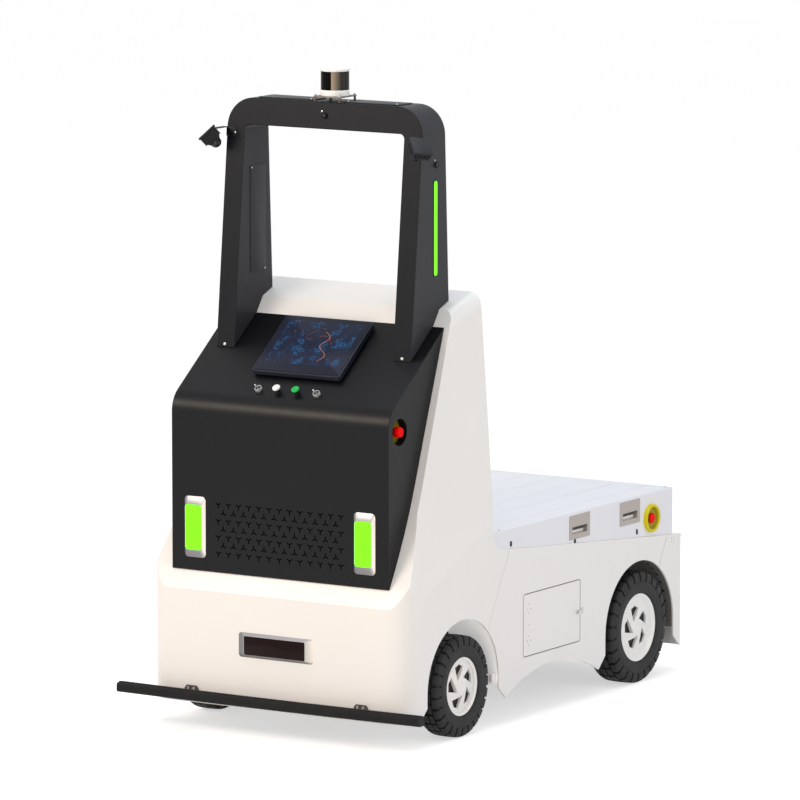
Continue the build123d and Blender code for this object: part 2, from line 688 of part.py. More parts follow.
with BuildPart() as bumper_brackets:
    outer = BRACKET_X + BRACKET_WIDTH / 2
    back = BUMPER_Y + BUMPER_ARC - ((BUMPER_ARC - BUMPER_DEPTH / 2) ** 2 - outer**2) ** 0.5
    for side in (1, -1):
        with BuildSketch(Plane.XY.offset(BUMPER_Z - BRACKET_HEIGHT / 2)):
            with Locations((side * BRACKET_X, (back + FACE_Y) / 2)):
                Rectangle(BRACKET_WIDTH, FACE_Y - back)
        extrude(amount=BRACKET_HEIGHT)
save(bumper_brackets, "bumper_brackets")

# Side panels: flat skins with wheel openings, scalloped lower edge, door opening and an inward top flange
SCALLOP_FRONT_Y = FRONT_AXLE_Y + FRONT_ARCH_RADIUS + ARCH_FLARE
SCALLOP_REAR_Y = REAR_AXLE_Y - REAR_ARCH_RADIUS - ARCH_FLARE
for name, side in (("left", 1), ("right", -1)):
    skin = Plane.YZ.offset(BODY_HALF - WALL if side > 0 else -BODY_HALF)
    with BuildPart() as side_panel:
        with BuildSketch(skin):
            with BuildLine():
                Polyline(
                    (SCALLOP_FRONT_Y, BODY_BOTTOM),
                    (seam_y(BODY_BOTTOM) + SEAM, BODY_BOTTOM),
                    (SEAM_TOP_Y + SEAM, skirt_z(SEAM_TOP_Y + SEAM) - LID_REST_GAP),
                    (REAR_SEAM_TOP_Y - SEAM, skirt_z(REAR_SEAM_TOP_Y - SEAM) - LID_REST_GAP),
                    (rear_seam_y(BODY_BOTTOM) - SEAM, BODY_BOTTOM),
                    (SCALLOP_REAR_Y, BODY_BOTTOM),
                )
                ThreePointArc(
                    (SCALLOP_REAR_Y, BODY_BOTTOM),
                    ((SCALLOP_FRONT_Y + SCALLOP_REAR_Y) / 2, BODY_BOTTOM + SCALLOP_RISE),
                    (SCALLOP_FRONT_Y, BODY_BOTTOM),
                )
            make_face()
            make_face(wheel_arch(FRONT_AXLE_Y, FRONT_TYRE_RADIUS, FRONT_ARCH_RADIUS), mode=Mode.SUBTRACT)
            make_face(wheel_arch(REAR_AXLE_Y, REAR_TYRE_RADIUS, REAR_ARCH_RADIUS), mode=Mode.SUBTRACT)
            with Locations((DOOR_FRONT_Y + DOOR_LENGTH / 2, DOOR_BOTTOM + DOOR_HEIGHT / 2)):
                RectangleRounded(DOOR_LENGTH, DOOR_HEIGHT, DOOR_CORNER_RADIUS, mode=Mode.SUBTRACT)
        extrude(amount=WALL)
        with BuildSketch(Plane.YZ.offset(side * (BODY_HALF - WALL))):
            Polygon(
                (SEAM_TOP_Y + SEAM, skirt_z(SEAM_TOP_Y + SEAM) - LID_REST_GAP),
                (REAR_SEAM_TOP_Y - SEAM, skirt_z(REAR_SEAM_TOP_Y - SEAM) - LID_REST_GAP),
                (REAR_SEAM_TOP_Y - SEAM, skirt_z(REAR_SEAM_TOP_Y - SEAM) - LID_REST_GAP - WALL),
                (SEAM_TOP_Y + SEAM, skirt_z(SEAM_TOP_Y + SEAM) - LID_REST_GAP - WALL),
                align=None,
            )
        extrude(amount=-side * PANEL_FLANGE)
    save(side_panel, f"side_panel_{name}")

    with BuildPart() as side_door:
        with BuildSketch(skin):
            front = DOOR_FRONT_Y + DOOR_HINGE_GAP
            rear = DOOR_FRONT_Y + DOOR_LENGTH - DOOR_GAP
            with Locations(((front + rear) / 2, DOOR_BOTTOM + DOOR_HEIGHT / 2)):
                RectangleRounded(rear - front, DOOR_HEIGHT - 2 * DOOR_GAP, DOOR_CORNER_RADIUS - DOOR_GAP)
        extrude(amount=WALL)
    save(side_door, f"side_door_{name}")

# Rear panel: wraps the back of the body between the rear seams, with a ledge under the lid's rear edge
with BuildPart() as rear_panel:
    reach = REAR_FACE_Y - REAR_AXLE_Y + REAR_ARCH_RADIUS
    with BuildSketch(Plane.XY.offset(BODY_BOTTOM)):
        with Locations((0, REAR_FACE_Y - reach / 2)):
            Rectangle(2 * BODY_HALF, reach)
        fillet(vertices().group_by(Axis.Y)[-1], REAR_CORNER_RADIUS)
    extrude(amount=DECK_Z - BODY_BOTTOM)
    with BuildSketch(Plane.XY.offset(BODY_BOTTOM)):
        with Locations((0, REAR_FACE_Y - WALL - reach / 2)):
            Rectangle(2 * (BODY_HALF - WALL), reach)
        fillet(vertices().group_by(Axis.Y)[-1], REAR_CORNER_RADIUS - WALL)
    extrude(amount=DECK_Z - BODY_BOTTOM, mode=Mode.SUBTRACT)
    ledge_y = DECK_REAR_Y - PANEL_FLANGE
    with BuildSketch(Plane.YZ):
        Polygon(
            (ledge_y, skirt_z(ledge_y) - LID_REST_GAP),
            (REAR_FACE_Y - WALL / 2, skirt_z(REAR_FACE_Y - WALL / 2) - LID_REST_GAP),
            (REAR_FACE_Y - WALL / 2, skirt_z(REAR_FACE_Y - WALL / 2) - LID_REST_GAP - WALL),
            (ledge_y, skirt_z(ledge_y) - LID_REST_GAP - WALL),
            align=None,
        )
    extrude(amount=BODY_HALF - WALL / 2, both=True)
    with BuildSketch(Plane.YZ):
        Polygon(
            (REAR_FACE_Y - reach - WALL, DECK_Z + WALL),
            (REAR_FACE_Y - reach - WALL, BODY_BOTTOM - WALL),
            (rear_seam_y(BODY_BOTTOM - WALL), BODY_BOTTOM - WALL),
            (REAR_SEAM_TOP_Y, skirt_z(REAR_SEAM_TOP_Y) - LID_REST_GAP),
            (REAR_FACE_Y + WALL, skirt_z(REAR_FACE_Y + WALL) - LID_REST_GAP),
            (REAR_FACE_Y + WALL, DECK_Z + WALL),
            align=None,
        )
        make_face(wheel_arch(REAR_AXLE_Y, REAR_TYRE_RADIUS, REAR_ARCH_RADIUS))
    extrude(amount=BODY_HALF + WALL, both=True, mode=Mode.SUBTRACT)
save(rear_panel, "rear_panel")

# Deck lid: ribbed top plate with side and rear skirts and two hinge eyes at its front edge
with BuildPart() as deck_lid:
    with BuildSketch(Plane.YZ):
        Polygon(
            (DECK_FRONT_Y, DECK_Z),
            (DECK_REAR_Y, DECK_Z),
            (DECK_REAR_Y, skirt_z(DECK_REAR_Y)),
            (DECK_FRONT_Y, skirt_z(DECK_FRONT_Y)),
            align=None,
        )
        fillet(vertices().sort_by_distance((DECK_FRONT_Y, skirt_z(DECK_FRONT_Y)))[0], SKIRT_CORNER_RADIUS)
    extrude(amount=DECK_HALF, both=True)
    with BuildSketch(Plane.XY):
        with Locations((0, (DECK_FRONT_Y + DECK_REAR_Y) / 2 - LID_WALL)):
            Rectangle(2 * (DECK_HALF - LID_WALL), DECK_REAR_Y - DECK_FRONT_Y)
    extrude(amount=DECK_Z - LID_WALL, mode=Mode.SUBTRACT)
    with BuildSketch(Plane.XY.offset(DECK_Z)):
        with Locations((0, (DECK_FRONT_Y + DECK_REAR_Y) / 2)):
            with GridLocations(GROOVE_PITCH, 0, GROOVE_COUNT, 1):
                Rectangle(GROOVE_WIDTH, DECK_REAR_Y - DECK_FRONT_Y - 2 * GROOVE_END)
    extrude(amount=-GROOVE_DEPTH, mode=Mode.SUBTRACT)
    for x in HINGE_PLACES:
        with BuildSketch(Plane.XY.offset(DECK_Z)):
            with Locations((x, DECK_FRONT_Y + HINGE_NOTCH / 2)):
                Rectangle(HINGE_EYE + 2 * HINGE_EAR + 4 * HINGE_SIDE_GAP, HINGE_NOTCH)
        extrude(amount=-LID_WALL, mode=Mode.SUBTRACT)
        with BuildSketch(Plane.YZ.offset(x - HINGE_EYE / 2)):
            with Locations((HINGE_Y, HINGE_Z)):
                Circle(HINGE_EYE_RADIUS)
            with Locations((HINGE_Y + HINGE_NOTCH, HINGE_Z - HINGE_EYE_RADIUS / 2)):
                Rectangle(2 * HINGE_NOTCH, HINGE_EYE_RADIUS)
            with Locations((HINGE_Y, HINGE_Z)):
                Circle(HINGE_PIN_RADIUS + RUNNING_GAP, mode=Mode.SUBTRACT)
        extrude(amount=HINGE_EYE)
        with BuildSketch(Plane.YZ.offset(x - HINGE_EYE / 2)):
            with Locations((HINGE_Y + 1.5 * HINGE_NOTCH, DECK_Z - LID_WALL - HINGE_EYE_RADIUS / 4)):
                Rectangle(HINGE_NOTCH, HINGE_EYE_RADIUS)
        extrude(amount=HINGE_EYE)
    for side in (1, -1):
        for y in HANDLE_PLACES:
            with BuildSketch(Plane.YZ.offset(side * DECK_HALF)):
                with Locations((y, HANDLE_Z)):
                    Rectangle(HANDLE_WIDTH - 2 * HANDLE_RIM, HANDLE_HEIGHT - 2 * HANDLE_RIM)
            extrude(amount=-side * LID_WALL, mode=Mode.SUBTRACT)
save(deck_lid, "deck_lid")

# Deck hinges: ears on the cowl's back wall, each pair with its pin
with BuildPart() as deck_hinges:
    for x in HINGE_PLACES:
        for side in (1, -1):
            inner = x + side * (HINGE_EYE / 2 + HINGE_SIDE_GAP)
            with BuildSketch(Plane.YZ.offset(inner)):
                with Locations((HINGE_Y, HINGE_Z)):
                    Circle(HINGE_EYE_RADIUS)
                with Locations(((BACK_Y + HINGE_Y) / 2, HINGE_Z - HINGE_EYE_RADIUS / 2)):
                    Rectangle(HINGE_Y - BACK_Y, HINGE_EYE_RADIUS)
            extrude(amount=side * HINGE_EAR)
        half = HINGE_EYE / 2 + HINGE_SIDE_GAP + HINGE_EAR
        with BuildSketch(Plane.YZ.offset(x - half)):
            with Locations((HINGE_Y, HINGE_Z)):
                Circle(HINGE_PIN_RADIUS)
        extrude(amount=2 * half)
save(deck_hinges, "deck_hinges")

# Recessed deck handles: flanged cups with a grip across the mouth
with BuildPart() as deck_handles:
    for side in (1, -1):
        for y in HANDLE_PLACES:
            mouth = Plane(origin=(side * DECK_HALF, y, HANDLE_Z), x_dir=(0, side, 0), z_dir=(side, 0, 0))
            width = HANDLE_WIDTH - 2 * HANDLE_RIM
            height = HANDLE_HEIGHT - 2 * HANDLE_RIM
            with BuildSketch(mouth):
                RectangleRounded(HANDLE_WIDTH, HANDLE_HEIGHT, 4)
            extrude(amount=HANDLE_SHEET)
            with BuildSketch(mouth):
                Rectangle(width, height)
            extrude(amount=-HANDLE_DEPTH)
            with BuildSketch(mouth.offset(HANDLE_SHEET)):
                Rectangle(width - 2 * HANDLE_SHEET, height - 2 * HANDLE_SHEET)
            extrude(amount=-HANDLE_DEPTH, mode=Mode.SUBTRACT)
            with BuildSketch(mouth.offset(HANDLE_SHEET)):
                with Locations((0, height / 4)):
                    Rectangle(width, height / 2 - HANDLE_SHEET)
            extrude(amount=-2 * HANDLE_SHEET)
save(deck_handles, "deck_handles")

# Emergency stops on the lid's skirts: yellow dish with a red head
with BuildPart() as deck_stop_dishes:
    for side in (1, -1):
        seat = Plane(origin=(side * DECK_HALF, DECK_STOP_Y, DECK_STOP_Z), z_dir=(side, 0, 0))
        with BuildSketch(seat):
            Circle(DECK_STOP_RADIUS)
        extrude(amount=DECK_STOP_DEPTH, taper=10)
        with BuildSketch(seat.offset(DECK_STOP_DEPTH)):
            Circle(DECK_STOP_RADIUS - 12)
        extrude(amount=STOP_DISC - DECK_STOP_DEPTH, taper=20, mode=Mode.SUBTRACT)
save(deck_stop_dishes, "deck_stop_dishes")

with BuildPart() as deck_stop_heads:
    for side in (1, -1):
        seat = Plane(origin=(side * DECK_HALF, DECK_STOP_Y, DECK_STOP_Z), z_dir=(side, 0, 0))
        with BuildSketch(seat.offset(STOP_DISC)):
            Circle(STOP_HEAD_RADIUS * 0.65)
        extrude(amount=DECK_STOP_DEPTH - STOP_DISC)
        with BuildSketch(seat.offset(STOP_DISC + 4)):
            Circle(STOP_HEAD_RADIUS)
        extrude(amount=DECK_STOP_DEPTH - STOP_DISC)
save(deck_stop_heads, "deck_stop_heads")

# Frame: two rails, cross members between them and outriggers to the side panels
with BuildPart() as chassis_frame:
    rail_front = FACE_Y + WALL
    rail_rear = REAR_FACE_Y - WALL
    for side in (1, -1):
        with BuildSketch(Plane.XY.offset(RAIL_BOTTOM)):
            with Locations((side * RAIL_X, (rail_front + rail_rear) / 2)):
                Rectangle(RAIL_WIDTH, rail_rear - rail_front)
        extrude(amount=RAIL_HEIGHT)
    for y in CROSS_PLACES:
        with BuildSketch(Plane.XY.offset(RAIL_BOTTOM + CROSS_DROP)):
            with Locations((0, y)):
                Rectangle(2 * RAIL_X, CROSS_WIDTH)
        extrude(amount=CROSS_HEIGHT)
    for y in OUTRIGGER_PLACES:
        with BuildSketch(Plane.XY.offset(RAIL_BOTTOM + CROSS_DROP)):
            with Locations((0, y)):
                Rectangle(2 * (BODY_HALF - WALL), CROSS_WIDTH)
        extrude(amount=CROSS_HEIGHT)
save(chassis_frame, "chassis_frame")

# Battery: one closed block on the rails, under the deck
with BuildPart() as battery_pack:
    with BuildSketch(Plane.XY.offset(RAIL_BOTTOM + RAIL_HEIGHT)):
        with Locations((0, BATTERY_Y)):
            RectangleRounded(BATTERY_WIDTH, BATTERY_LENGTH, 20)
    extrude(amount=BATTERY_HEIGHT)
save(battery_pack, "battery_pack")

# Wheel liners: half-round sheets inside the wheel openings. Columns: name, axle Y, axle height, radius
LINERS = [
    ("front_wheel_liners", FRONT_AXLE_Y, FRONT_TYRE_RADIUS, FRONT_ARCH_RADIUS),
    ("rear_mudguards", REAR_AXLE_Y, REAR_TYRE_RADIUS, REAR_ARCH_RADIUS),
]
for name, axle_y, axle_z, radius in LINERS:
    with BuildPart() as liners:
        for side in (1, -1):
            with BuildSketch(Plane.YZ.offset(side * (BODY_HALF - WALL))):
                with BuildLine():
                    Line((axle_y - radius - LINER, axle_z - LINER_DROP), (axle_y - radius - LINER, axle_z))
                    ThreePointArc(
                        (axle_y - radius - LINER, axle_z),
                        (axle_y, axle_z + radius + LINER),
                        (axle_y + radius + LINER, axle_z),
                    )
                    Polyline(
                        (axle_y + radius + LINER, axle_z),
                        (axle_y + radius + LINER, axle_z - LINER_DROP),
                        (axle_y + radius, axle_z - LINER_DROP),
                        (axle_y + radius, axle_z),
                    )
                    ThreePointArc((axle_y + radius, axle_z), (axle_y, axle_z + radius), (axle_y - radius, axle_z))
                    Polyline(
                        (axle_y - radius, axle_z),
                        (axle_y - radius, axle_z - LINER_DROP),
                        (axle_y - radius - LINER, axle_z - LINER_DROP),
                    )
                make_face()
            extrude(amount=-side * LINER_WIDTH)
    save(liners, name)

# Front axle beam: box beam with forked ends and pads up to the rails
with BuildPart() as front_axle_beam:
    with BuildSketch(Plane.XY.offset(FRONT_TYRE_RADIUS - BEAM_HEIGHT / 2)):
        with Locations((0, FRONT_AXLE_Y)):
            Rectangle(2 * FORK_X, BEAM_WIDTH)
    extrude(amount=BEAM_HEIGHT)
    for side in (1, -1):
        with BuildSketch(Plane.XY.offset(FRONT_TYRE_RADIUS - FORK_HALF)):
            with Locations((side * (FORK_X - FORK_WEB / 2), FRONT_AXLE_Y)):
                Rectangle(FORK_WEB, BEAM_WIDTH)
        extrude(amount=2 * FORK_HALF)
        for low in (-FORK_HALF, FORK_HALF - FORK_EAR):
            with BuildSketch(Plane.XY.offset(FRONT_TYRE_RADIUS + low)):
                with Locations((side * KINGPIN_X, FRONT_AXLE_Y)):
                    Circle(BEAM_WIDTH / 2)
                with Locations((side * (FORK_X - FORK_WEB + KINGPIN_X) / 2, FRONT_AXLE_Y)):
                    Rectangle(KINGPIN_X - FORK_X + FORK_WEB, BEAM_WIDTH)
                with Locations((side * KINGPIN_X, FRONT_AXLE_Y)):
                    Circle(KINGPIN_RADIUS + RUNNING_GAP, mode=Mode.SUBTRACT)
            extrude(amount=FORK_EAR)
        with BuildSketch(Plane.XY.offset(FRONT_TYRE_RADIUS)):
            with Locations((side * RAIL_X, FRONT_AXLE_Y)):
                Rectangle(RAIL_WIDTH, BEAM_WIDTH)
        extrude(amount=RAIL_BOTTOM - FRONT_TYRE_RADIUS)
save(front_axle_beam, "front_axle_beam")

# Rear drive axle: tube with spindles, differential, motor and pads up to the rails
with BuildPart() as rear_drive_axle:
    centre = (0, REAR_AXLE_Y, REAR_TYRE_RADIUS)
    with BuildSketch(Plane.YZ.offset(-REAR_TUBE_HALF)):
        with Locations((REAR_AXLE_Y, REAR_TYRE_RADIUS)):
            Circle(REAR_TUBE_RADIUS)
    extrude(amount=2 * REAR_TUBE_HALF)
    with BuildSketch(Plane.YZ.offset(-REAR_SPINDLE_HALF)):
        with Locations((REAR_AXLE_Y, REAR_TYRE_RADIUS)):
            Circle(SPINDLE_RADIUS)
    extrude(amount=2 * REAR_SPINDLE_HALF)
    with Locations(centre):
        Sphere(DIFFERENTIAL_RADIUS)
    with BuildSketch(Plane.XZ.offset(-REAR_AXLE_Y)):
        with Locations((0, REAR_TYRE_RADIUS)):
            Circle(MOTOR_RADIUS)
    extrude(amount=MOTOR_LENGTH)
    for side in (1, -1):
        with BuildSketch(Plane.XY.offset(REAR_TYRE_RADIUS)):
            with Locations((side * RAIL_X, REAR_AXLE_Y)):
                Rectangle(RAIL_WIDTH, 1.2 * REAR_TUBE_RADIUS)
        extrude(amount=RAIL_BOTTOM - REAR_TYRE_RADIUS)
save(rear_drive_axle, "rear_drive_axle")

# Knuckles: kingpin boss, pin, spindle and a straight steering arm on each side
for name, side in (("left", 1), ("right", -1)):
    pivot = (side * KINGPIN_X, FRONT_AXLE_Y)
    boss_half = FORK_HALF - FORK_EAR - 1
    with BuildPart() as knuckle:
        with BuildSketch(Plane.XY.offset(FRONT_TYRE_RADIUS - boss_half)):
            with Locations(pivot):
                Circle(BOSS_RADIUS)
        extrude(amount=2 * boss_half)
        with BuildSketch(Plane.XY.offset(FRONT_TYRE_RADIUS - FORK_HALF)):
            with Locations(pivot):
                Circle(KINGPIN_RADIUS)
        extrude(amount=2 * FORK_HALF)
        with BuildSketch(Plane.YZ.offset(side * KINGPIN_X)):
            with Locations((FRONT_AXLE_Y, FRONT_TYRE_RADIUS)):
                Circle(SPINDLE_RADIUS)
        extrude(amount=side * (BODY_HALF - SPINDLE_INSET - KINGPIN_X))
        with BuildSketch(Plane.XY.offset(ARM_Z)):
            with Locations((pivot[0], FRONT_AXLE_Y + STEERING_ARM / 2)):
                Rectangle(ARM_WIDTH, STEERING_ARM)
            with Locations((pivot[0], FRONT_AXLE_Y + STEERING_ARM)):
                Circle(ARM_WIDTH / 2)
        extrude(amount=ARM_HEIGHT)
        with BuildSketch(Plane.XY.offset(ARM_Z - TIE_EYE_HEIGHT - 2)):
            with Locations((pivot[0], FRONT_AXLE_Y + STEERING_ARM)):
                Circle(TIE_PIN_RADIUS)
        extrude(amount=TIE_EYE_HEIGHT + 2)
    save(knuckle, f"knuckle_{name}")

# Tie rod between the steering arms
with BuildPart() as tie_rod:
    rod_z = ARM_Z - 1 - TIE_EYE_HEIGHT / 2
    for side in (1, -1):
        with BuildSketch(Plane.XY.offset(rod_z - TIE_EYE_HEIGHT / 2)):
            with Locations((side * KINGPIN_X, FRONT_AXLE_Y + STEERING_ARM)):
                Circle(TIE_EYE_RADIUS)
        extrude(amount=TIE_EYE_HEIGHT)
    with BuildSketch(Plane.YZ.offset(-KINGPIN_X)):
        with Locations((FRONT_AXLE_Y + STEERING_ARM, rod_z)):
            Circle(TIE_ROD_RADIUS)
    extrude(amount=2 * KINGPIN_X)
    for side in (1, -1):
        with BuildSketch(Plane.XY.offset(rod_z - TIE_EYE_HEIGHT)):
            with Locations((side * KINGPIN_X, FRONT_AXLE_Y + STEERING_ARM)):
                Circle(TIE_PIN_RADIUS + RUNNING_GAP)
        extrude(amount=2 * TIE_EYE_HEIGHT, mode=Mode.SUBTRACT)
save(tie_rod, "tie_rod")

# Wheels. Columns: name, side, axle Y, tyre radius, tyre width, rim radius, disc setback
WHEELS = [
    ("front_left", 1, FRONT_AXLE_Y, FRONT_TYRE_RADIUS, FRONT_TYRE_WIDTH, FRONT_RIM_RADIUS, 14),
    ("front_right", -1, FRONT_AXLE_Y, FRONT_TYRE_RADIUS, FRONT_TYRE_WIDTH, FRONT_RIM_RADIUS, 14),
    ("rear_left", 1, REAR_AXLE_Y, REAR_TYRE_RADIUS, REAR_TYRE_WIDTH, REAR_RIM_RADIUS, 18),
    ("rear_right", -1, REAR_AXLE_Y, REAR_TYRE_RADIUS, REAR_TYRE_WIDTH, REAR_RIM_RADIUS, 18),
]
for name, side, axle_y, tyre_radius, tyre_width, rim_radius, setback in WHEELS:
    half = tyre_width / 2
    hub = Vector(side * (BODY_HALF - half), axle_y, tyre_radius)
    section = Plane(origin=hub, x_dir=(side, 0, 0), z_dir=(0, -side, 0))
    axle = Axis(hub, (1, 0, 0))
    seat_radius = rim_radius - RIM_FLANGE
    bead_top = rim_radius + BEAD_HEIGHT
    bulge = (bead_top + tyre_radius) / 2
    with BuildPart() as tyre:
        with BuildSketch(section):
            with BuildLine():
                Polyline(
                    (-half + TYRE_BEAD, bead_top),
                    (-half + TYRE_BEAD, seat_radius),
                    (half - TYRE_BEAD, seat_radius),
                    (half - TYRE_BEAD, bead_top),
                )
                ThreePointArc((half - TYRE_BEAD, bead_top), (half, bulge), (half - 4, tyre_radius - TYRE_SHOULDER))
                Line((half - 4, tyre_radius - TYRE_SHOULDER), (half - TYRE_SHOULDER, tyre_radius - 3))
                ThreePointArc(
                    (half - TYRE_SHOULDER, tyre_radius - 3),
                    (0, tyre_radius),
                    (TYRE_SHOULDER - half, tyre_radius - 3),
                )
                Line((TYRE_SHOULDER - half, tyre_radius - 3), (4 - half, tyre_radius - TYRE_SHOULDER))
                ThreePointArc(
                    (4 - half, tyre_radius - TYRE_SHOULDER),
                    (-half, bulge),
                    (-half + TYRE_BEAD, bead_top),
                )
            make_face()
        revolve(axis=axle)
    save(tyre, f"tyre_{name}")

    barrel = seat_radius - SEAT_GAP
    face = half - setback
    flange = half - TYRE_BEAD + SEAT_GAP
    with BuildPart() as rim:
        with BuildSketch(section):
            with BuildLine():
                Polyline(
                    (-flange - RIM_LIP, rim_radius),
                    (-flange, rim_radius),
                    (-flange, barrel),
                    (flange, barrel),
                    (flange, rim_radius),
                    (flange + RIM_LIP, rim_radius),
                    (flange + RIM_LIP, barrel - RIM_SHEET),
                    (face - 6, barrel - 2 * RIM_SHEET),
                    (face, 0.62 * barrel),
                    (face + 6, HUB_RADIUS),
                    (face + 6, 0),
                    (face - HUB_LENGTH, 0),
                    (face - HUB_LENGTH, HUB_RADIUS),
                    (face - 10, HUB_RADIUS),
                    (face - 14, barrel - RIM_SHEET),
                    (-flange - RIM_LIP, barrel - RIM_SHEET),
                    close=True,
                )
            make_face()
        revolve(axis=axle)
        with BuildSketch(Plane(origin=hub, x_dir=(0, 1, 0), z_dir=(side, 0, 0))):
            with PolarLocations(0.68 * barrel, RIM_WINDOWS, start_angle=90):
                Polygon(
                    (-0.24 * barrel, 0.05 * barrel),
                    (0.16 * barrel, -0.19 * barrel),
                    (0.17 * barrel, 0.17 * barrel),
                    align=None,
                )
        extrude(amount=half, mode=Mode.SUBTRACT)
        with BuildSketch(Plane(origin=hub, x_dir=(0, 1, 0), z_dir=(side, 0, 0)).offset(face - HUB_LENGTH)):
            Circle(SPINDLE_RADIUS + RUNNING_GAP)
        extrude(amount=HUB_LENGTH - HUB_CAP, mode=Mode.SUBTRACT)
    save(rim, f"rim_{name}")

# Sensor arch: an inverted U whose feet follow the console's slope, the cowl's lip and its roof
with BuildPart() as sensor_arch:
    base = CONSOLE_TOP_Z
    with BuildSketch(Plane.XZ):
        with Locations((0, (base + ARCH_TOP) / 2)):
            Rectangle(2 * ARCH_HALF, ARCH_TOP - base)
        fillet(vertices().group_by(Axis.Y)[-1], ARCH_CORNER_RADIUS)
        with Locations((0, (base + ARCH_INNER_TOP) / 2)):
            Rectangle(2 * ARCH_INNER_HALF, ARCH_INNER_TOP - base, mode=Mode.SUBTRACT)
        corners = [(side * ARCH_INNER_HALF, ARCH_INNER_TOP) for side in (1, -1)]
        fillet([vertices().sort_by_distance(corner)[0] for corner in corners], ARCH_INNER_RADIUS)
    extrude(amount=2 * WHEELBASE, both=True)
    with BuildSketch(Plane.YZ):
        Polygon(
            (ARCH_FOOT_FRONT_Y, slope_z(ARCH_FOOT_FRONT_Y)),
            (BROW_Y, BROW_Z),
            (LIP_Y, LIP_Z),
            (ARCH_FOOT_REAR_Y, roof_z(ARCH_FOOT_REAR_Y)),
            (ARCH_TOP_REAR_Y, ARCH_TOP),
            (ARCH_TOP_FRONT_Y, ARCH_TOP),
            align=None,
        )
    extrude(amount=ARCH_HALF, both=True, mode=Mode.INTERSECT)
save(sensor_arch, "sensor_arch")

# Covers on the arch: two plates on its top and an access plate on each leg's inner face
with BuildPart() as arch_covers:
    for side in (1, -1):
        with BuildSketch(Plane.XY.offset(ARCH_TOP)):
            with Locations((side * COVER_X, LIDAR_Y)):
                RectangleRounded(COVER_LENGTH, COVER_WIDTH, 10)
        extrude(amount=COVER_SHEET)
        with BuildSketch(Plane.YZ.offset(side * ARCH_INNER_HALF)):
            with Locations((ACCESS_Y, ACCESS_Z)):
                RectangleRounded(ACCESS_WIDTH, ACCESS_HEIGHT, 12)
        extrude(amount=-side * ACCESS_SHEET)
save(arch_covers, "arch_covers")

# Light strips on the legs' outer faces
with BuildPart() as arch_light_strips:
    for side in (1, -1):
        with BuildSketch(Plane.YZ.offset(side * ARCH_HALF)):
            with Locations((STRIP_Y, STRIP_Z)):
                SlotOverall(STRIP_LENGTH, STRIP_WIDTH, rotation=90)
        extrude(amount=side * STRIP_DEPTH)
save(arch_light_strips, "arch_light_strips")

# Scanner on the arch: stand with four posts, bright base and cap, dark window between them
with BuildPart() as scanner_stand:
    with BuildSketch(Plane.XY.offset(ARCH_TOP)):
        with Locations((0, LIDAR_Y)):
            with GridLocations(2 * POST_PLACE, 2 * POST_PLACE, 2, 2):
                Circle(POST_RADIUS)
    extrude(amount=POST_HEIGHT)
    with BuildSketch(Plane.XY.offset(ARCH_TOP + POST_HEIGHT)):
        with Locations((0, LIDAR_Y)):
            RectangleRounded(2 * POST_PLACE + 16, 2 * POST_PLACE + 16, 8)
    extrude(amount=STAND_PLATE)
save(scanner_stand, "scanner_stand")

# Columns: name, layers, each with its radius and its lowest and highest height above the stand
SCANNER = [
    ("scanner_housing", ((LIDAR_RADIUS, 0, 22), (LIDAR_RADIUS, 98, 108))),
    ("scanner_window", ((LIDAR_RADIUS - 2, 22, 98),)),
]
STAND_TOP = ARCH_TOP + POST_HEIGHT + STAND_PLATE
for name, layers in SCANNER:
    with BuildPart() as scanner:
        for radius, low, high in layers:
            with BuildSketch(Plane.XY.offset(STAND_TOP + low)):
                with Locations((0, LIDAR_Y)):
                    Circle(radius)
            extrude(amount=high - low)
    save(scanner, name)

# Corner sensors: finned blocks with a dome, on angled plates held out from the legs by brackets
with BuildPart() as corner_sensors:
    for side in (1, -1):
        facing = Plane(
            origin=(side * (ARCH_HALF + CORNER_OUT), arch_front_y(CORNER_Z) - CORNER_AHEAD, CORNER_Z),
            z_dir=(side * 0.618, -0.298, 0.728),
        )
        with BuildSketch(facing):
            RectangleRounded(CORNER_PLATE, CORNER_PLATE, 6)
        extrude(amount=6)
        with BuildSketch(facing):
            Rectangle(CORNER_BLOCK, CORNER_BLOCK)
        extrude(amount=-CORNER_DEPTH)
        with BuildSketch(facing.offset(-CORNER_DEPTH)):
            Circle(CORNER_DOME)
        extrude(amount=-10)
        with Locations(facing.offset(-CORNER_DEPTH - 10)):
            Sphere(CORNER_DOME)
save(corner_sensors, "corner_sensors")

with BuildPart() as corner_brackets:
    for side in (1, -1):
        front = arch_front_y(CORNER_Z)
        with BuildSketch(Plane.XY.offset(CORNER_Z - BRACE_HEIGHT / 2)):
            with Locations((side * (ARCH_HALF + BRACE_SHEET / 2), front - (CORNER_AHEAD - BRACE_LAP) / 2)):
                Rectangle(BRACE_SHEET, CORNER_AHEAD + BRACE_LAP)
        extrude(amount=BRACE_HEIGHT)
    add(corner_sensors.part, mode=Mode.SUBTRACT)
save(corner_brackets, "corner_brackets")

# Cameras: one on the beam's front face, one on each leg's outer face
with BuildPart() as arch_cameras:
    with BuildSketch(Plane(origin=(0, arch_front_y(CAMERA_Z), CAMERA_Z), z_dir=(0, -1, 0))):
        Circle(CAMERA_RADIUS)
    extrude(amount=CAMERA_DEPTH)
    for side in (1, -1):
        with BuildSketch(Plane.YZ.offset(side * ARCH_HALF)):
            with Locations((SIDE_CAMERA_Y, SIDE_CAMERA_Z)):
                Circle(CAMERA_RADIUS)
        extrude(amount=side * CAMERA_DEPTH)
    add(sensor_arch.part, mode=Mode.SUBTRACT)
save(arch_cameras, "arch_cameras")

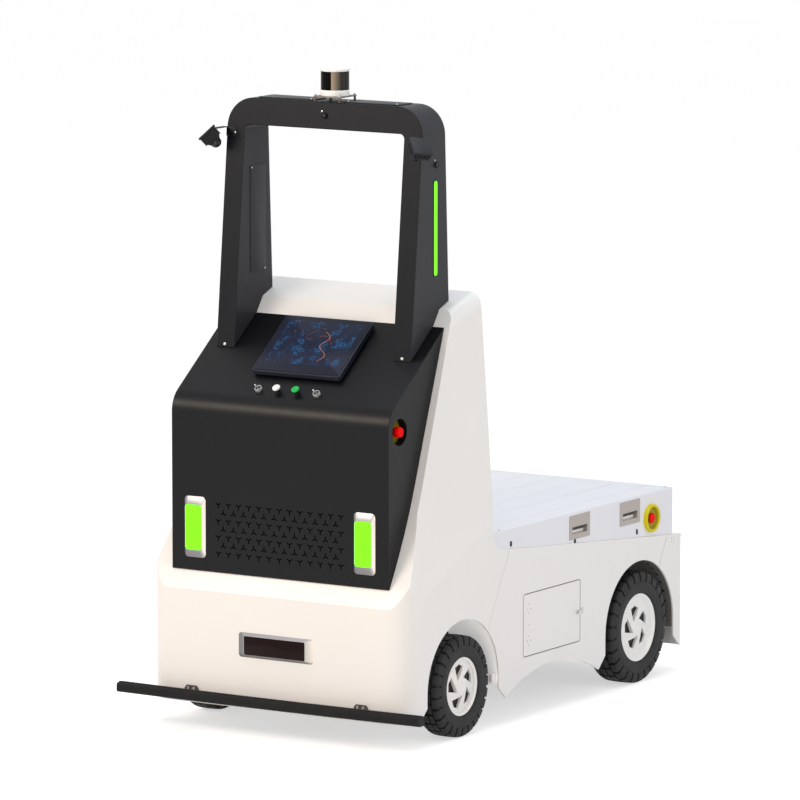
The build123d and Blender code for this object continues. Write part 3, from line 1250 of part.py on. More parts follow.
# Tow hitch: back plate and two jaw plates with a bore for the drawbar pin
with BuildPart() as tow_hitch:
    tip = REAR_AXLE_Y + REAR_OVERHANG
    jaw_half = HITCH_JAW / 2
    with BuildSketch(Plane.XZ.offset(-REAR_FACE_Y)):
        with Locations((0, HITCH_Z)):
            RectangleRounded(2 * HITCH_HALF + 60, HITCH_JAW + 2 * HITCH_PLATE + 60, 10)
    extrude(amount=-HITCH_BACK)
    for low in (-jaw_half - HITCH_PLATE, jaw_half):
        with BuildSketch(Plane.XY.offset(HITCH_Z + low)):
            with Locations((0, (REAR_FACE_Y + tip - HITCH_HALF) / 2)):
                Rectangle(2 * HITCH_HALF, tip - HITCH_HALF - REAR_FACE_Y)
            with Locations((0, tip - HITCH_HALF)):
                Circle(HITCH_HALF)
                Circle(HITCH_BORE_RADIUS, mode=Mode.SUBTRACT)
        extrude(amount=HITCH_PLATE)
save(tow_hitch, "tow_hitch")

# Rear lamps
with BuildPart() as rear_lamps:
    for side in (1, -1):
        with BuildSketch(Plane.XZ.offset(-REAR_FACE_Y)):
            with Locations((side * REAR_LAMP_X, REAR_LAMP_Z)):
                RectangleRounded(REAR_LAMP_WIDTH, REAR_LAMP_HEIGHT, 10)
        extrude(amount=-REAR_LAMP_DEPTH)
save(rear_lamps, "rear_lamps")
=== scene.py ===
import json
import math

import bmesh
import bpy
from mathutils import Matrix, Vector


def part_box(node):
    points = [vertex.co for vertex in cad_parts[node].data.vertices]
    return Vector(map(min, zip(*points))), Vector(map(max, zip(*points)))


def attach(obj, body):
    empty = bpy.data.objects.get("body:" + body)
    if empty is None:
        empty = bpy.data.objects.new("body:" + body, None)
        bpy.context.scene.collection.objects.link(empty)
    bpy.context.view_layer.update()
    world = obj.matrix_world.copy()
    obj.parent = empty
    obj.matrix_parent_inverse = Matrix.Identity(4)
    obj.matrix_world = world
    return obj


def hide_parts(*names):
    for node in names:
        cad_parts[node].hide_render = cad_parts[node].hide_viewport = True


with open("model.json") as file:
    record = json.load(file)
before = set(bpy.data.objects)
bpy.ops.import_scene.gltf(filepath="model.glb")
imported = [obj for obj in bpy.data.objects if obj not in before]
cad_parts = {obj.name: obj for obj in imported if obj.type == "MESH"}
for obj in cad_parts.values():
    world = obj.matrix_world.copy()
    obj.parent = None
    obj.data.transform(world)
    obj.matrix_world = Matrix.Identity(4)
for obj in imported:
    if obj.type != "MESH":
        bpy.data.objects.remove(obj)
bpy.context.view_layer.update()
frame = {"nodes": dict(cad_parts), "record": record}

# Places are in metres in the part's own frame: front towards -Y, the vehicle's left towards +X.
MM = 0.001
SMOOTH_ANGLE = math.radians(32)
FLAT_ANGLE = math.radians(0.5)
WELD = 0.02 * MM

CAMERA_PLACE = (14.958, -24.027, 5.316)
CAMERA_HEADING = 32.075
CAMERA_PITCH = 8.134
CAMERA_LENS = 304.56
CAMERA_REACH = 120.0
# The photo's right, level with the ground.
PHOTO_RIGHT = (0.847, 0.531)

SCANNER_Y = -0.662
DRUM_RADIUS = 61 * MM
DECK_STOP_Y = 0.861
DECK_STOP_Z = 0.703
DISH_BOWL = 48 * MM
TABLET_Y = -0.820
# Length along the console's slope for a length along Y.
SLOPE_STRETCH = 1.2443


# Shader maths.

class Shade:
    """A socket in a finish's node tree. Arithmetic on it adds Math nodes; other nodes come from node()."""

    def __init__(self, tree, socket=None, finish=None):
        self.tree = tree
        self.socket = socket
        self.finish = finish

    def node(self, kind, settings=None, sockets=None, out=0):
        made = self.tree.nodes.new(kind)
        for name, value in (settings or {}).items():
            setattr(made, name, value)
        for name, value in (sockets or {}).items():
            if isinstance(value, Shade):
                self.tree.links.new(value.socket, made.inputs[name])
            else:
                made.inputs[name].default_value = value
        return Shade(self.tree, made.outputs[out] if made.outputs else None)

    def maths(self, operation, *terms):
        return self.node("ShaderNodeMath", {"operation": operation}, dict(enumerate(terms)))

    def __add__(self, other):
        return self.maths("ADD", self, other)

    def __sub__(self, other):
        return self.maths("SUBTRACT", self, other)

    def __rsub__(self, other):
        return self.maths("SUBTRACT", other, self)

    def __mul__(self, other):
        return self.maths("MULTIPLY", self, other)

    def __gt__(self, other):
        return self.maths("GREATER_THAN", self, other)

    def __lt__(self, other):
        return self.maths("LESS_THAN", self, other)

    __radd__ = __add__
    __rmul__ = __mul__

    def between(self, low, high):
        return (self > low) * (self < high)

    def blend(self, first, second):
        """The first colour where this value is 0 and the second where it is 1."""
        settings = {"data_type": "RGBA", "clamp_factor": True}
        return self.node("ShaderNodeMix", settings, {0: self, 6: first, 7: second}, out=2)

    def noise(self, place, scale, detail=2.0, roughness=0.5):
        sockets = {"Vector": place, "Scale": scale, "Detail": detail, "Roughness": roughness}
        return self.node("ShaderNodeTexNoise", None, sockets)

    def cells(self, place, scale):
        return self.node("ShaderNodeTexVoronoi", None, {"Vector": place, "Scale": scale})

    def bump(self, height, strength, distance):
        sockets = {"Height": height, "Strength": strength, "Distance": distance}
        return self.node("ShaderNodeBump", None, sockets)

    def axis(self, place, name):
        return self.node("ShaderNodeSeparateXYZ", None, {"Vector": place}, out="XYZ".index(name))


def begin(name):
    """A new finish, and the place on the piece that its textures follow."""
    finish = bpy.data.materials.new(name)
    finish.use_nodes = True
    finish.node_tree.nodes.clear()
    shade = Shade(finish.node_tree, finish=finish)
    return shade, shade.node("ShaderNodeTexCoord", out="Object")


def close(shade, **sockets):
    """Ends a finish with its principled shader; a keyword's underscores stand for spaces."""
    named = {key.replace("_", " "): value for key, value in sockets.items()}
    surface = shade.node("ShaderNodeBsdfPrincipled", None, named)
    shade.node("ShaderNodeOutputMaterial", None, {"Surface": surface})
    return shade.finish


def own_slot(finish):
    """A finish's name without the number that Blender may add to it."""
    return finish.name.split(".")[0]


def tone(red, green, blue):
    """A colour given in the 0 to 255 scale of a screen, made linear."""
    def linear(level):
        share = level / 255
        return share / 12.92 if share <= 0.04045 else ((share + 0.055) / 1.055) ** 2.4
    return (linear(red), linear(green), linear(blue), 1.0)


# Finishes.

def gloss_paint(name, pale, deep, roughness, coat, peel):
    """Sprayed paint: a slow drift of tone, orange peel in the clear coat and a little dust in the gloss."""
    shade, place = begin(name)
    drift = shade.noise(place, 2.2, 3.0)
    dust = shade.noise(place, 38.0, 4.0, 0.6)
    ripple = shade.noise(place, 420.0, 1.0)
    return close(
        shade,
        Base_Color=drift.blend(pale, deep),
        Roughness=roughness + 0.10 * (dust - 0.5),
        Coat_Weight=coat,
        Coat_Roughness=0.12,
        Normal=shade.bump(ripple, peel, 0.4 * MM),
    )


def powder_coat(name, pale, deep, roughness, grain, specular=0.3, side=None):
    """Fine textured powder coat on sheet metal; a side tone, if given, is painted light on the faces turned
    sideways.
    """
    shade, place = begin(name)
    drift = shade.noise(place, 3.1, 3.0)
    speckle = shade.noise(place, 650.0, 2.0)
    scuff = shade.noise(place, 24.0, 5.0, 0.65)
    coat_and_painted_side_light = (0.65 * drift + 0.35 * speckle).blend(pale, deep)
    # Painted light: faces turned sideways take the side tone, as if lit from the sides.
    if side:
        aside = shade.axis(shade.node("ShaderNodeNewGeometry", out="Normal"), "X")
        coat_and_painted_side_light = (aside * aside).blend(coat_and_painted_side_light, side)
    return close(
        shade,
        Base_Color=coat_and_painted_side_light,
        Roughness=roughness + 0.12 * (scuff - 0.5),
        Specular_IOR_Level=specular,
        Normal=shade.bump(speckle, grain, 0.3 * MM),
    )


def rubber(name, pale, deep, specular):
    """Moulded rubber with a dusty bloom and a fine pitted skin."""
    shade, place = begin(name)
    bloom = shade.noise(place, 16.0, 5.0, 0.6)
    pits = shade.noise(place, 900.0, 2.0)
    return close(
        shade,
        Base_Color=bloom.blend(pale, deep),
        Roughness=0.62 + 0.2 * (bloom - 0.5),
        Specular_IOR_Level=specular,
        Normal=shade.bump(pits, 0.35, 0.3 * MM),
    )


def metal(name, pale, deep, roughness, stretch):
    """Drawn or brushed metal: streaks along one direction of the piece."""
    shade, place = begin(name)
    combed = shade.node("ShaderNodeMapping", None, {"Vector": place, "Scale": stretch})
    streak = shade.noise(combed, 60.0, 3.0)
    smear = shade.noise(place, 22.0, 4.0)
    return close(
        shade,
        Base_Color=streak.blend(pale, deep),
        Metallic=1.0,
        Roughness=roughness + 0.14 * (smear - 0.5) + 0.06 * streak,
        Normal=shade.bump(streak, 0.06, 0.2 * MM),
    )


def anodised_frame(name, left, right, above, below):
    """Satin anodised trim with painted light and reflection: its bevels are painted lighter or darker by the
    side that they face.
    """
    shade, place = begin(name)
    facing = shade.node("ShaderNodeNewGeometry", out="Normal")
    aside = shade.axis(facing, "X")
    rise = shade.axis(facing, "Z")
    grain = shade.noise(place, 120.0, 3.0)
    # Painted light and reflection: faces are painted paler upward, darker downward, and take the left or
    # right tone sideways.
    level = (0.5 + 0.5 * rise + 0.06 * (grain - 0.5)).blend(below, above)
    painted_left_light = (1.3 * aside).blend(level, left)
    painted_bevel_light = (-1.3 * aside).blend(painted_left_light, right)
    return close(
        shade,
        Base_Color=painted_bevel_light,
        Metallic=0.6,
        Roughness=0.34 + 0.1 * (grain - 0.5),
        Normal=shade.bump(grain, 0.05, 0.2 * MM),
    )


def cast_iron(name, pale, deep):
    """Rough castings and tubes below the body, with a film of dust."""
    shade, place = begin(name)
    skin = shade.noise(place, 190.0, 4.0, 0.6)
    film = shade.noise(place, 9.0, 4.0)
    return close(
        shade,
        Base_Color=film.blend(pale, deep),
        Metallic=0.35,
        Roughness=0.58 + 0.2 * (skin - 0.5),
        Normal=shade.bump(skin, 0.4, 0.6 * MM),
    )


def moulded_plastic(name, pale, deep, roughness, coat=0.0, specular=0.4):
    """Injection moulded plastic with a fine spark-eroded grain."""
    shade, place = begin(name)
    drift = shade.noise(place, 12.0, 3.0)
    grain = shade.noise(place, 780.0, 2.0)
    return close(
        shade,
        Base_Color=drift.blend(pale, deep),
        Roughness=roughness + 0.1 * (drift - 0.5),
        Specular_IOR_Level=specular,
        Coat_Weight=coat,
        Coat_Roughness=0.1,
        Normal=shade.bump(grain, 0.2, 0.25 * MM),
    )


def lit_lens(name, pale, deep, glow):
    """A diffusing lens lit from behind, a little dimmer towards its moulded ribs; the front wheel liners use
    it as a painted glow.
    """
    shade, place = begin(name)
    height = shade.axis(place, "Z")
    rib = shade.maths("SINE", height * 900.0)
    cloud = shade.noise(place, 20.0, 2.0)
    lit = (0.8 * cloud + 0.1 * rib).blend(pale, deep)
    return close(
        shade,
        Base_Color=lit,
        Roughness=0.35 + 0.1 * (cloud - 0.5),
        Specular_IOR_Level=0.2,
        Emission_Color=lit,
        Emission_Strength=glow,
        Normal=shade.bump(rib, 0.05, 0.3 * MM),
    )


def bowl_plastic(name, rim, bowl_shade):
    """Moulded plastic of the deck's stop dishes, dull, with painted shade: darker in tone inside the bowl."""
    shade, place = begin(name)
    back = shade.axis(place, "Y") - DECK_STOP_Y
    rise = shade.axis(place, "Z") - DECK_STOP_Z
    # Painted shade: inside the bowl's radius the plastic is painted a darker olive.
    inside = (back * back + rise * rise) < DISH_BOWL ** 2
    grain = shade.noise(place, 300.0, 3.0)
    return close(
        shade,
        Base_Color=inside.blend((0.3 * grain).blend(rim, bowl_shade), (0.3 * grain).blend(bowl_shade, rim)),
        Roughness=0.42 + 0.1 * (grain - 0.5),
        Specular_IOR_Level=0.25,
        Normal=shade.bump(grain, 0.1, 0.25 * MM),
    )


def dark_glass(name, pale, deep, specular=0.4):
    """Smoked glass over a dark panel, with a faint smear in the gloss."""
    shade, place = begin(name)
    depth = shade.noise(place, 6.0, 2.0)
    smear = shade.noise(place, 30.0, 4.0)
    return close(
        shade,
        Base_Color=depth.blend(pale, deep),
        Roughness=0.08 + 0.08 * smear,
        Specular_IOR_Level=specular,
    )


def drum_glass(name, dark, grey, band):
    """The scanner's round window: smoked glass with painted reflection: a dark half, a greyer half and a pale
    vertical band, fixed to one direction round the drum.
    """
    shade, place = begin(name)
    over_x = shade.axis(place, "X") * (PHOTO_RIGHT[0] / DRUM_RADIUS)
    over_y = (shade.axis(place, "Y") - SCANNER_Y) * (PHOTO_RIGHT[1] / DRUM_RADIUS)
    across = over_x + over_y
    smear = shade.noise(place, 60.0, 4.0)
    # Painted reflection: on one side of a line down the drum the window is painted greyer, with a pale band
    # that fades away from the line; the other side is painted dark.
    painted_lit_half = across > -0.26
    painted_band_fade = shade.maths("MAXIMUM", 0.62 - across * 1.45, 0.0)
    lit = shade.maths("MINIMUM", painted_band_fade, 1.0) * painted_lit_half
    side = painted_lit_half.blend(dark, (0.2 * smear).blend(grey, dark))
    return close(
        shade,
        Base_Color=lit.blend(side, band),
        Roughness=0.14 + 0.1 * smear,
        Specular_IOR_Level=0.05,
    )


def chart_screen(name):
    """The touch screen's generic chart: a navy field, drifts of blue points and a few warm traces."""
    shade, place = begin(name)
    across = shade.axis(place, "X")
    up = (shade.axis(place, "Y") - TABLET_Y) * SLOPE_STRETCH
    field = across.between(-0.176, 0.182) * up.between(-0.140, 0.112)
    drift = shade.noise(place, 7.0, 3.0, 0.6)
    patch = shade.noise(place, 15.0, 4.0, 0.7)
    broken = shade.noise(place, 42.0, 2.0) > 0.47
    cloud = (patch > 0.56) * (shade.cells(place, 210.0) < 0.33)
    glow = shade.maths("MAXIMUM", (patch - 0.47) * 4.0, 0.0)
    haze = (drift > 0.46) * (shade.cells(place, 120.0) < 0.15)
    wave = 0.030 * shade.maths("SINE", across * 34.0) - 0.45 * across + 0.022
    high = 0.016 * shade.maths("SINE", across * 47.0 + 1.3) + 0.20 * across + 0.058
    steep = 0.050 + 0.018 * shade.maths("SINE", up * 60.0) - 0.25 * up
    warm = (shade.maths("ABSOLUTE", across - steep) < 0.0013) * up.between(-0.115, 0.06)
    rose = (shade.maths("ABSOLUTE", up - wave) < 0.0012) * across.between(-0.15, 0.09)
    plum = (shade.maths("ABSOLUTE", up - high) < 0.0012) * across.between(-0.15, 0.02)
    ground = drift.blend(tone(42, 46, 64), tone(32, 35, 50))
    haze_on = (haze * 0.5).blend(ground, tone(110, 120, 152))
    glow_on = (0.6 * glow).blend(haze_on, tone(28, 70, 116))
    cloud_on = (cloud * 0.6).blend(glow_on, tone(70, 140, 196))
    plum_on = (plum * broken * 0.6).blend(cloud_on, tone(142, 92, 130))
    rose_on = (rose * broken * 0.6).blend(plum_on, tone(158, 84, 78))
    picture = (warm * 0.85).blend(rose_on, tone(208, 134, 96))
    shown = field.blend(tone(37, 40, 53), picture)
    return close(
        shade,
        Base_Color=shown,
        Roughness=0.22 + 0.1 * (drift - 0.5),
        Specular_IOR_Level=0.06,
        Emission_Color=shown,
        Emission_Strength=0.08,
    )


WHITE = gloss_paint("white_paint", tone(240, 238, 236), tone(236, 233, 231), 0.42, 0.2, 0.05)
DECK_WHITE = gloss_paint("deck_paint", tone(236, 236, 241), tone(231, 231, 237), 0.5, 0.08, 0.08)
BLACK = powder_coat("black_paint", tone(8, 8, 12), tone(5, 5, 9), 0.37, 0.06, 0.215)
# The arch's paint carries painted light: its sideways faces are painted a paler grey.
ARCH_BLACK = powder_coat("arch_paint", tone(8, 12, 20), tone(6, 9, 16), 0.43, 0.12, 0.17, tone(50, 51, 55))
# A near-black sheet standing for the shade behind the grille: painted shade.
SHADE_SHEET_BLACK = powder_coat("filter_mat", tone(5, 5, 6), tone(3, 3, 4), 0.9, 0.3, 0.05)
FRAME_GREY = powder_coat("frame_paint", tone(46, 47, 49), tone(36, 37, 39), 0.55, 0.2)
SEAM_GREY = powder_coat("seam_grey", tone(112, 110, 109), tone(100, 98, 97), 0.6, 0.1)
SEAL_GREY = rubber("seal_rubber", tone(58, 57, 56), tone(48, 47, 46), 0.1)
IRON = cast_iron("axle_iron", tone(72, 71, 70), tone(52, 51, 50))
STEEL = metal("steel", tone(176, 174, 172), tone(150, 148, 146), 0.36, (1.0, 14.0, 1.0))
BRIGHT = metal("bright_trim", tone(205, 204, 203), tone(182, 181, 180), 0.3, (12.0, 1.0, 1.0))
DARK_STEEL = metal("dark_steel", tone(104, 101, 98), tone(84, 81, 79), 0.42, (1.0, 10.0, 1.0))
# Both trims carry painted light and reflection: each bevel's tone is painted by the way it faces.
FRAME_TRIM = anodised_frame(
    "frame_trim", left=tone(255, 246, 232), right=tone(88, 86, 90), above=tone(176, 176, 182),
    below=tone(92, 88, 88),
)
HANDLE_TRIM = anodised_frame(
    "handle_trim", left=tone(170, 162, 157), right=tone(170, 162, 157), above=tone(206, 198, 192),
    below=tone(110, 104, 100),
)
RIM_WHITE = gloss_paint("rim_alloy", tone(243, 241, 239), tone(236, 234, 232), 0.38, 0.3, 0.06)
TYRE = rubber("tyre", tone(46, 46, 47), tone(37, 37, 38), 0.2)
BUMPER = rubber("bumper_rubber", tone(20, 20, 21), tone(15, 15, 16), 0.2)
BATTERY = moulded_plastic("battery_case", tone(48, 50, 52), tone(40, 42, 44), 0.6)
GUARD = moulded_plastic("guard_plastic", tone(118, 116, 113), tone(106, 104, 101), 0.62, 0.0, 0.2)
# The front wheel liners glow: painted light that keeps their shaded hollows white.
GLOWING_LINER_WHITE = lit_lens("liner_white_painted_glow", tone(246, 245, 244), tone(240, 239, 238), 0.3)
SENSOR_GREY = moulded_plastic("sensor_grey", tone(40, 40, 44), tone(32, 32, 36), 0.5, 0.0, 0.2)
SENSOR = moulded_plastic("sensor_black", tone(24, 24, 27), tone(18, 18, 21), 0.4, 0.0, 0.25)
SLATE = moulded_plastic("tablet_slate", tone(36, 39, 52), tone(31, 34, 46), 0.36, 0.0, 0.25)
GREEN_LIGHT = lit_lens("lamp_green", tone(116, 250, 22), tone(108, 242, 18), 0.75)
RED_LIGHT = lit_lens("lamp_red", tone(176, 22, 20), tone(150, 14, 14), 0.05)
STOP_RED = moulded_plastic("stop_red", tone(250, 6, 6), tone(236, 4, 4), 0.45, 0.0, 0.08)
# The console stops' yellow discs are painted a dark olive: painted shade.
SHADED_STOP_YELLOW = moulded_plastic("stop_yellow", tone(132, 122, 14), tone(118, 108, 10), 0.5, 0.0, 0.1)
# The dishes' olive bowl tone is painted shade.
DISH_YELLOW = bowl_plastic("dish_yellow", tone(226, 212, 18), tone(146, 134, 16))
BUTTON_WHITE = moulded_plastic("button_white", tone(240, 240, 238), tone(228, 228, 226), 0.32, 0.2)
BUTTON_GREEN = moulded_plastic("button_green", tone(30, 190, 88), tone(22, 172, 78), 0.36, 0.0, 0.3)
SCREEN = dark_glass("screen_glass", tone(30, 9, 11), tone(24, 6, 8), 0.12)
LENS_BLACK = dark_glass("camera_glass", tone(14, 14, 16), tone(10, 10, 12), 0.4)
# The scanner window carries painted reflection: its dark and grey halves and its pale band are painted.
WINDOW = drum_glass("scanner_window", tone(10, 9, 9), tone(56, 54, 52), tone(168, 150, 130))
CHART = chart_screen("chart_screen")

SLOT_FINISHES = (
    WHITE, DECK_WHITE, BLACK, ARCH_BLACK, FRAME_GREY, IRON, STEEL, BRIGHT, RIM_WHITE, TYRE, BUMPER, BATTERY,
    GUARD, SENSOR, GREEN_LIGHT, RED_LIGHT, STOP_RED, SHADED_STOP_YELLOW, BUTTON_WHITE, BUTTON_GREEN, SCREEN, WINDOW,
)
FINISH_OF_SLOT = {own_slot(finish): finish for finish in SLOT_FINISHES}
FINISH_OF_NODE = {"front_wheel_liners": GLOWING_LINER_WHITE, "deck_handles": HANDLE_TRIM}
BODY_OF_NODE = {}
for body_name, members in frame["record"]["behaviour"]["bodies"].items():
    for member in members:
        BODY_OF_NODE[member] = body_name
for node_name, node_object in frame["nodes"].items():
    for place_in_list, held in enumerate(node_object.data.materials):
        slot_name = own_slot(held)
        FINISH_OF_NODE.setdefault(node_name, FINISH_OF_SLOT[slot_name])
        node_object.data.materials[place_in_list] = FINISH_OF_NODE[node_name]


# Mesh making. Places are in metres; sizes, outlines and profiles are in millimetres.
UP = (0.0, 0.0, 1.0)
LEFT = (1.0, 0.0, 0.0)
RIGHT = (-1.0, 0.0, 0.0)
FORWARD = (0.0, -1.0, 0.0)
BACKWARD = (0.0, 1.0, 0.0)
SLOPE_OUT = (0.0, -0.5951, 0.8037)
ARCH_FRONT_OUT = (0.0, -0.9954, 0.0963)
CORNER_STEPS = 6


def piece(name, shape, finish, body="chassis", replaces=()):
    """Turns a bmesh into a piece that rides on a body. Its slot is its finish's own."""
    mesh = bpy.data.meshes.new(name)
    bmesh.ops.recalc_face_normals(shape, faces=shape.faces)
    shape.to_mesh(mesh)
    shape.free()
    mesh.shade_smooth()
    mesh.set_sharp_from_angle(angle=SMOOTH_ANGLE)
    made = bpy.data.objects.new(name, mesh)
    bpy.context.scene.collection.objects.link(made)
    mesh.materials.append(finish)
    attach(made, body)
    if replaces:
        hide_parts(*replaces)
    return made


def add_bevel(made, radius, steps, method):
    bevel = made.modifiers.new("rounding", "BEVEL")
    bevel.width = radius * MM
    bevel.segments = steps
    bevel.limit_method = method
    bevel.use_clamp_overlap = True
    bevel.harden_normals = True
    return bevel


def soften(made, radius, sharp=30):
    """Rounds the edges of a piece that turn by more than an angle in degrees."""
    add_bevel(made, radius, 2, "ANGLE").angle_limit = math.radians(sharp)


def sharp_edges(shape, least, chosen):
    """Edges that turn by more than an angle in degrees and whose middle is chosen."""
    found = []
    for edge in shape.edges:
        if len(edge.link_faces) == 2 and edge.calc_face_angle() > math.radians(least):
            if chosen((edge.verts[0].co + edge.verts[1].co) / 2):
                found.append(edge)
    return found


def rounded_copy(node, radius, sharp=30, broad=None, left_sharp=None):
    """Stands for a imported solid: its flat faces made whole again and its sharp edges rounded."""
    shape = bmesh.new()
    shape.from_mesh(frame["nodes"][node].data)
    bmesh.ops.remove_doubles(shape, verts=shape.verts, dist=WELD)
    bmesh.ops.dissolve_limit(shape, angle_limit=FLAT_ANGLE, verts=shape.verts, edges=shape.edges)
    if broad:
        # A larger radius, the least angle and the choice of the edges by their middle.
        size, least, chosen = broad
        bmesh.ops.bevel(
            shape, geom=sharp_edges(shape, least, chosen), offset=size * MM, offset_type="OFFSET", segments=6,
            profile=0.5, affect="EDGES", clamp_overlap=True,
        )
    weights = shape.edges.layers.float.new("bevel_weight_edge")
    for edge in sharp_edges(shape, sharp, lambda middle: not (left_sharp and left_sharp(middle))):
        edge[weights] = 1.0
    finish = FINISH_OF_NODE[node]
    made = piece(node + "_finished", shape, finish, BODY_OF_NODE[node], [node])
    add_bevel(made, radius, 3, "WEIGHT")


def place_on(spot, out, up=None):
    """The frame of something fixed to a surface: local Z points out of it and local Y up it."""
    outward = Vector(out).normalized()
    upright = up or (BACKWARD if abs(outward.z) > 0.9 else UP)
    across = Vector(upright).cross(outward).normalized()
    turn = Matrix((across, outward.cross(across), outward)).transposed().to_4x4()
    return Matrix.Translation(spot) @ turn


def pairs(out, *spots):
    """Places on both sides of the vehicle that face one direction and its mirror image."""
    return [
        place_on((side * x, y, z), (side * out[0], out[1], out[2]))
        for x, y, z in spots for side in (1.0, -1.0)
    ]


def raised(where, rise):
    return where @ Matrix.Translation((0.0, 0.0, rise * MM))


def slope_z(y):
    """Height of the console's sloping top."""
    return 1.3718 + (y + 1.091) * 0.7405


def on_slope(x, y, up=None):
    return place_on((x, y, slope_z(y)), SLOPE_OUT, up)


def on_arch(x, z, ahead=0.0):
    """A place on the arch's raked front face, or a little ahead of it."""
    return place_on((x, -0.7360 - (2.595 - z) * 0.0967 - ahead, z), ARCH_FRONT_OUT)


def join_loops(shape, loops):
    """Faces between loops of as many points, one after the other."""
    for lower, upper in zip(loops, loops[1:]):
        for k in range(len(lower)):
            after = (k + 1) % len(lower)
            corners = (lower[k], lower[after], upper[after], upper[k])
            shape.faces.new(list(dict.fromkeys(corners)))


def loop_at(shape, where, outline, rise):
    return [shape.verts.new(where @ Vector((x * MM, y * MM, rise * MM))) for x, y in outline]


def turned(shape, where, profile, sides):
    """Turns a profile of (radius, height) pairs round the local Z of a place."""
    turns = [2 * math.pi * k / sides for k in range(sides)]
    rings = []
    for radius, height in profile:
        if radius == 0:
            rings.append(loop_at(shape, where, [(0.0, 0.0)], height) * sides)
        else:
            circle = [(radius * math.cos(turn), radius * math.sin(turn)) for turn in turns]
            rings.append(loop_at(shape, where, circle, height))
    join_loops(shape, rings)


def rounded_outline(width, height, corner):
    """Points round a rectangle with rounded corners, about the origin."""
    points = []
    for quarter, (sign_x, sign_y) in enumerate(((1, 1), (-1, 1), (-1, -1), (1, -1))):
        for k in range(CORNER_STEPS + 1):
            angle = math.pi / 2 * (quarter + k / CORNER_STEPS)
            points.append((
                sign_x * (width / 2 - corner) + corner * math.cos(angle),
                sign_y * (height / 2 - corner) + corner * math.sin(angle),
            ))
    return points


def prism(shape, where, foot, low, high, top=None):
    """A solid between an outline and another, or itself, at a greater height."""
    lower = loop_at(shape, where, foot, low)
    upper = loop_at(shape, where, top or foot, high)
    join_loops(shape, [lower, upper])
    shape.faces.new(lower[::-1])
    shape.faces.new(upper)


def plate(shape, where, width, height, corner, thickness, edge):
    """A plate with rounded corners and a rounded outer edge, lying on a place."""
    steps = ((0.0, 0.0), (0.0, thickness - edge), (0.3 * edge, thickness - 0.3 * edge), (edge, thickness))
    layers = []
    for inset, rise in steps:
        outline = rounded_outline(width - 2 * inset, height - 2 * inset, max(corner - inset, 0.1))
        layers.append(loop_at(shape, where, outline, rise))
    join_loops(shape, layers)
    shape.faces.new(layers[-1])
    shape.faces.new(layers[0][::-1])


def band(shape, where, *loops):
    """A frame through loops of as many points. Columns of loops: outline, height."""
    made = [loop_at(shape, where, outline, rise) for outline, rise in loops]
    join_loops(shape, made + made[:1])


def ring(shape, where, outer, opening, rise):
    """A flat ring. Columns of outer and opening: width, height, corner."""
    outside = rounded_outline(*outer)
    inside = rounded_outline(*opening)
    band(shape, where, (outside, 0.0), (outside, rise), (inside, rise), (inside, 0.0))


def strip(shape, start, end, across, depth):
    """A flat bar between two points, as wide as one vector and as deep as another."""
    corners = []
    for spot in (start, end):
        for a, b in ((-0.5, 0), (0.5, 0), (0.5, 1), (-0.5, 1)):
            corners.append(shape.verts.new(Vector(spot) + a * Vector(across) + b * Vector(depth)))
    join_loops(shape, [corners[:4], corners[4:]])
    shape.faces.new(corners[3::-1])
    shape.faces.new(corners[4:])


def like_pieces(maker, name, finish, seats, sizes, body="chassis", replaces=()):
    """One joined piece of the same shape at each place."""
    shape = bmesh.new()
    for seat in seats:
        maker(shape, seat, *sizes)
    return piece(name, shape, finish, body, replaces)


# Tyres with moulded shoulder lugs and a staggered centre tread.

# Columns: share of the half width, share of the section height.
TYRE_WALL = (
    (0.80, 0.000), (0.90, 0.015), (0.935, 0.050), (0.925, 0.075), (0.955, 0.095), (0.975, 0.200),
    (0.992, 0.330), (0.996, 0.440), (0.990, 0.520), (0.970, 0.545), (0.970, 0.555),
)
# Columns: the same, tread row, share of the groove depth.
TYRE_TREAD = (
    (0.998, 0.565, "side", 0.5), (0.995, 0.640, "side", 0.8), (0.970, 0.780, "side", 1.0),
    (0.930, 0.890, "side", 1.0), (0.870, 0.955, "side", 1.0), (0.780, 0.982, "side", 1.0),
    (0.600, 0.990, "side", 1.0), (0.540, 0.992, "side", 1.0), (0.520, 0.992, "channel", 1.0),
    (0.440, 0.994, "channel", 1.0), (0.420, 0.994, "mid", 1.0), (0.220, 0.998, "mid", 1.0),
    (0.050, 1.000, "mid", 1.0), (0.030, 1.000, "channel", 0.7), (0.000, 1.000, "channel", 0.7),
)
LUGS = 26
LUG_COLUMNS = (0.0, 0.02, 0.22, 0.24, 0.35, 0.50, 0.52, 0.70, 0.72, 0.85)
SIDE_GROOVE = (0.01, 0.23)
MID_GROOVE = (0.51, 0.71)
GROOVE_DEPTH = 13 * MM


def groove_share(row, depth, fraction):
    if row == "channel":
        return depth
    low, high = SIDE_GROOVE if row == "side" else MID_GROOVE
    return depth if row in ("side", "mid") and low < fraction < high else 0.0


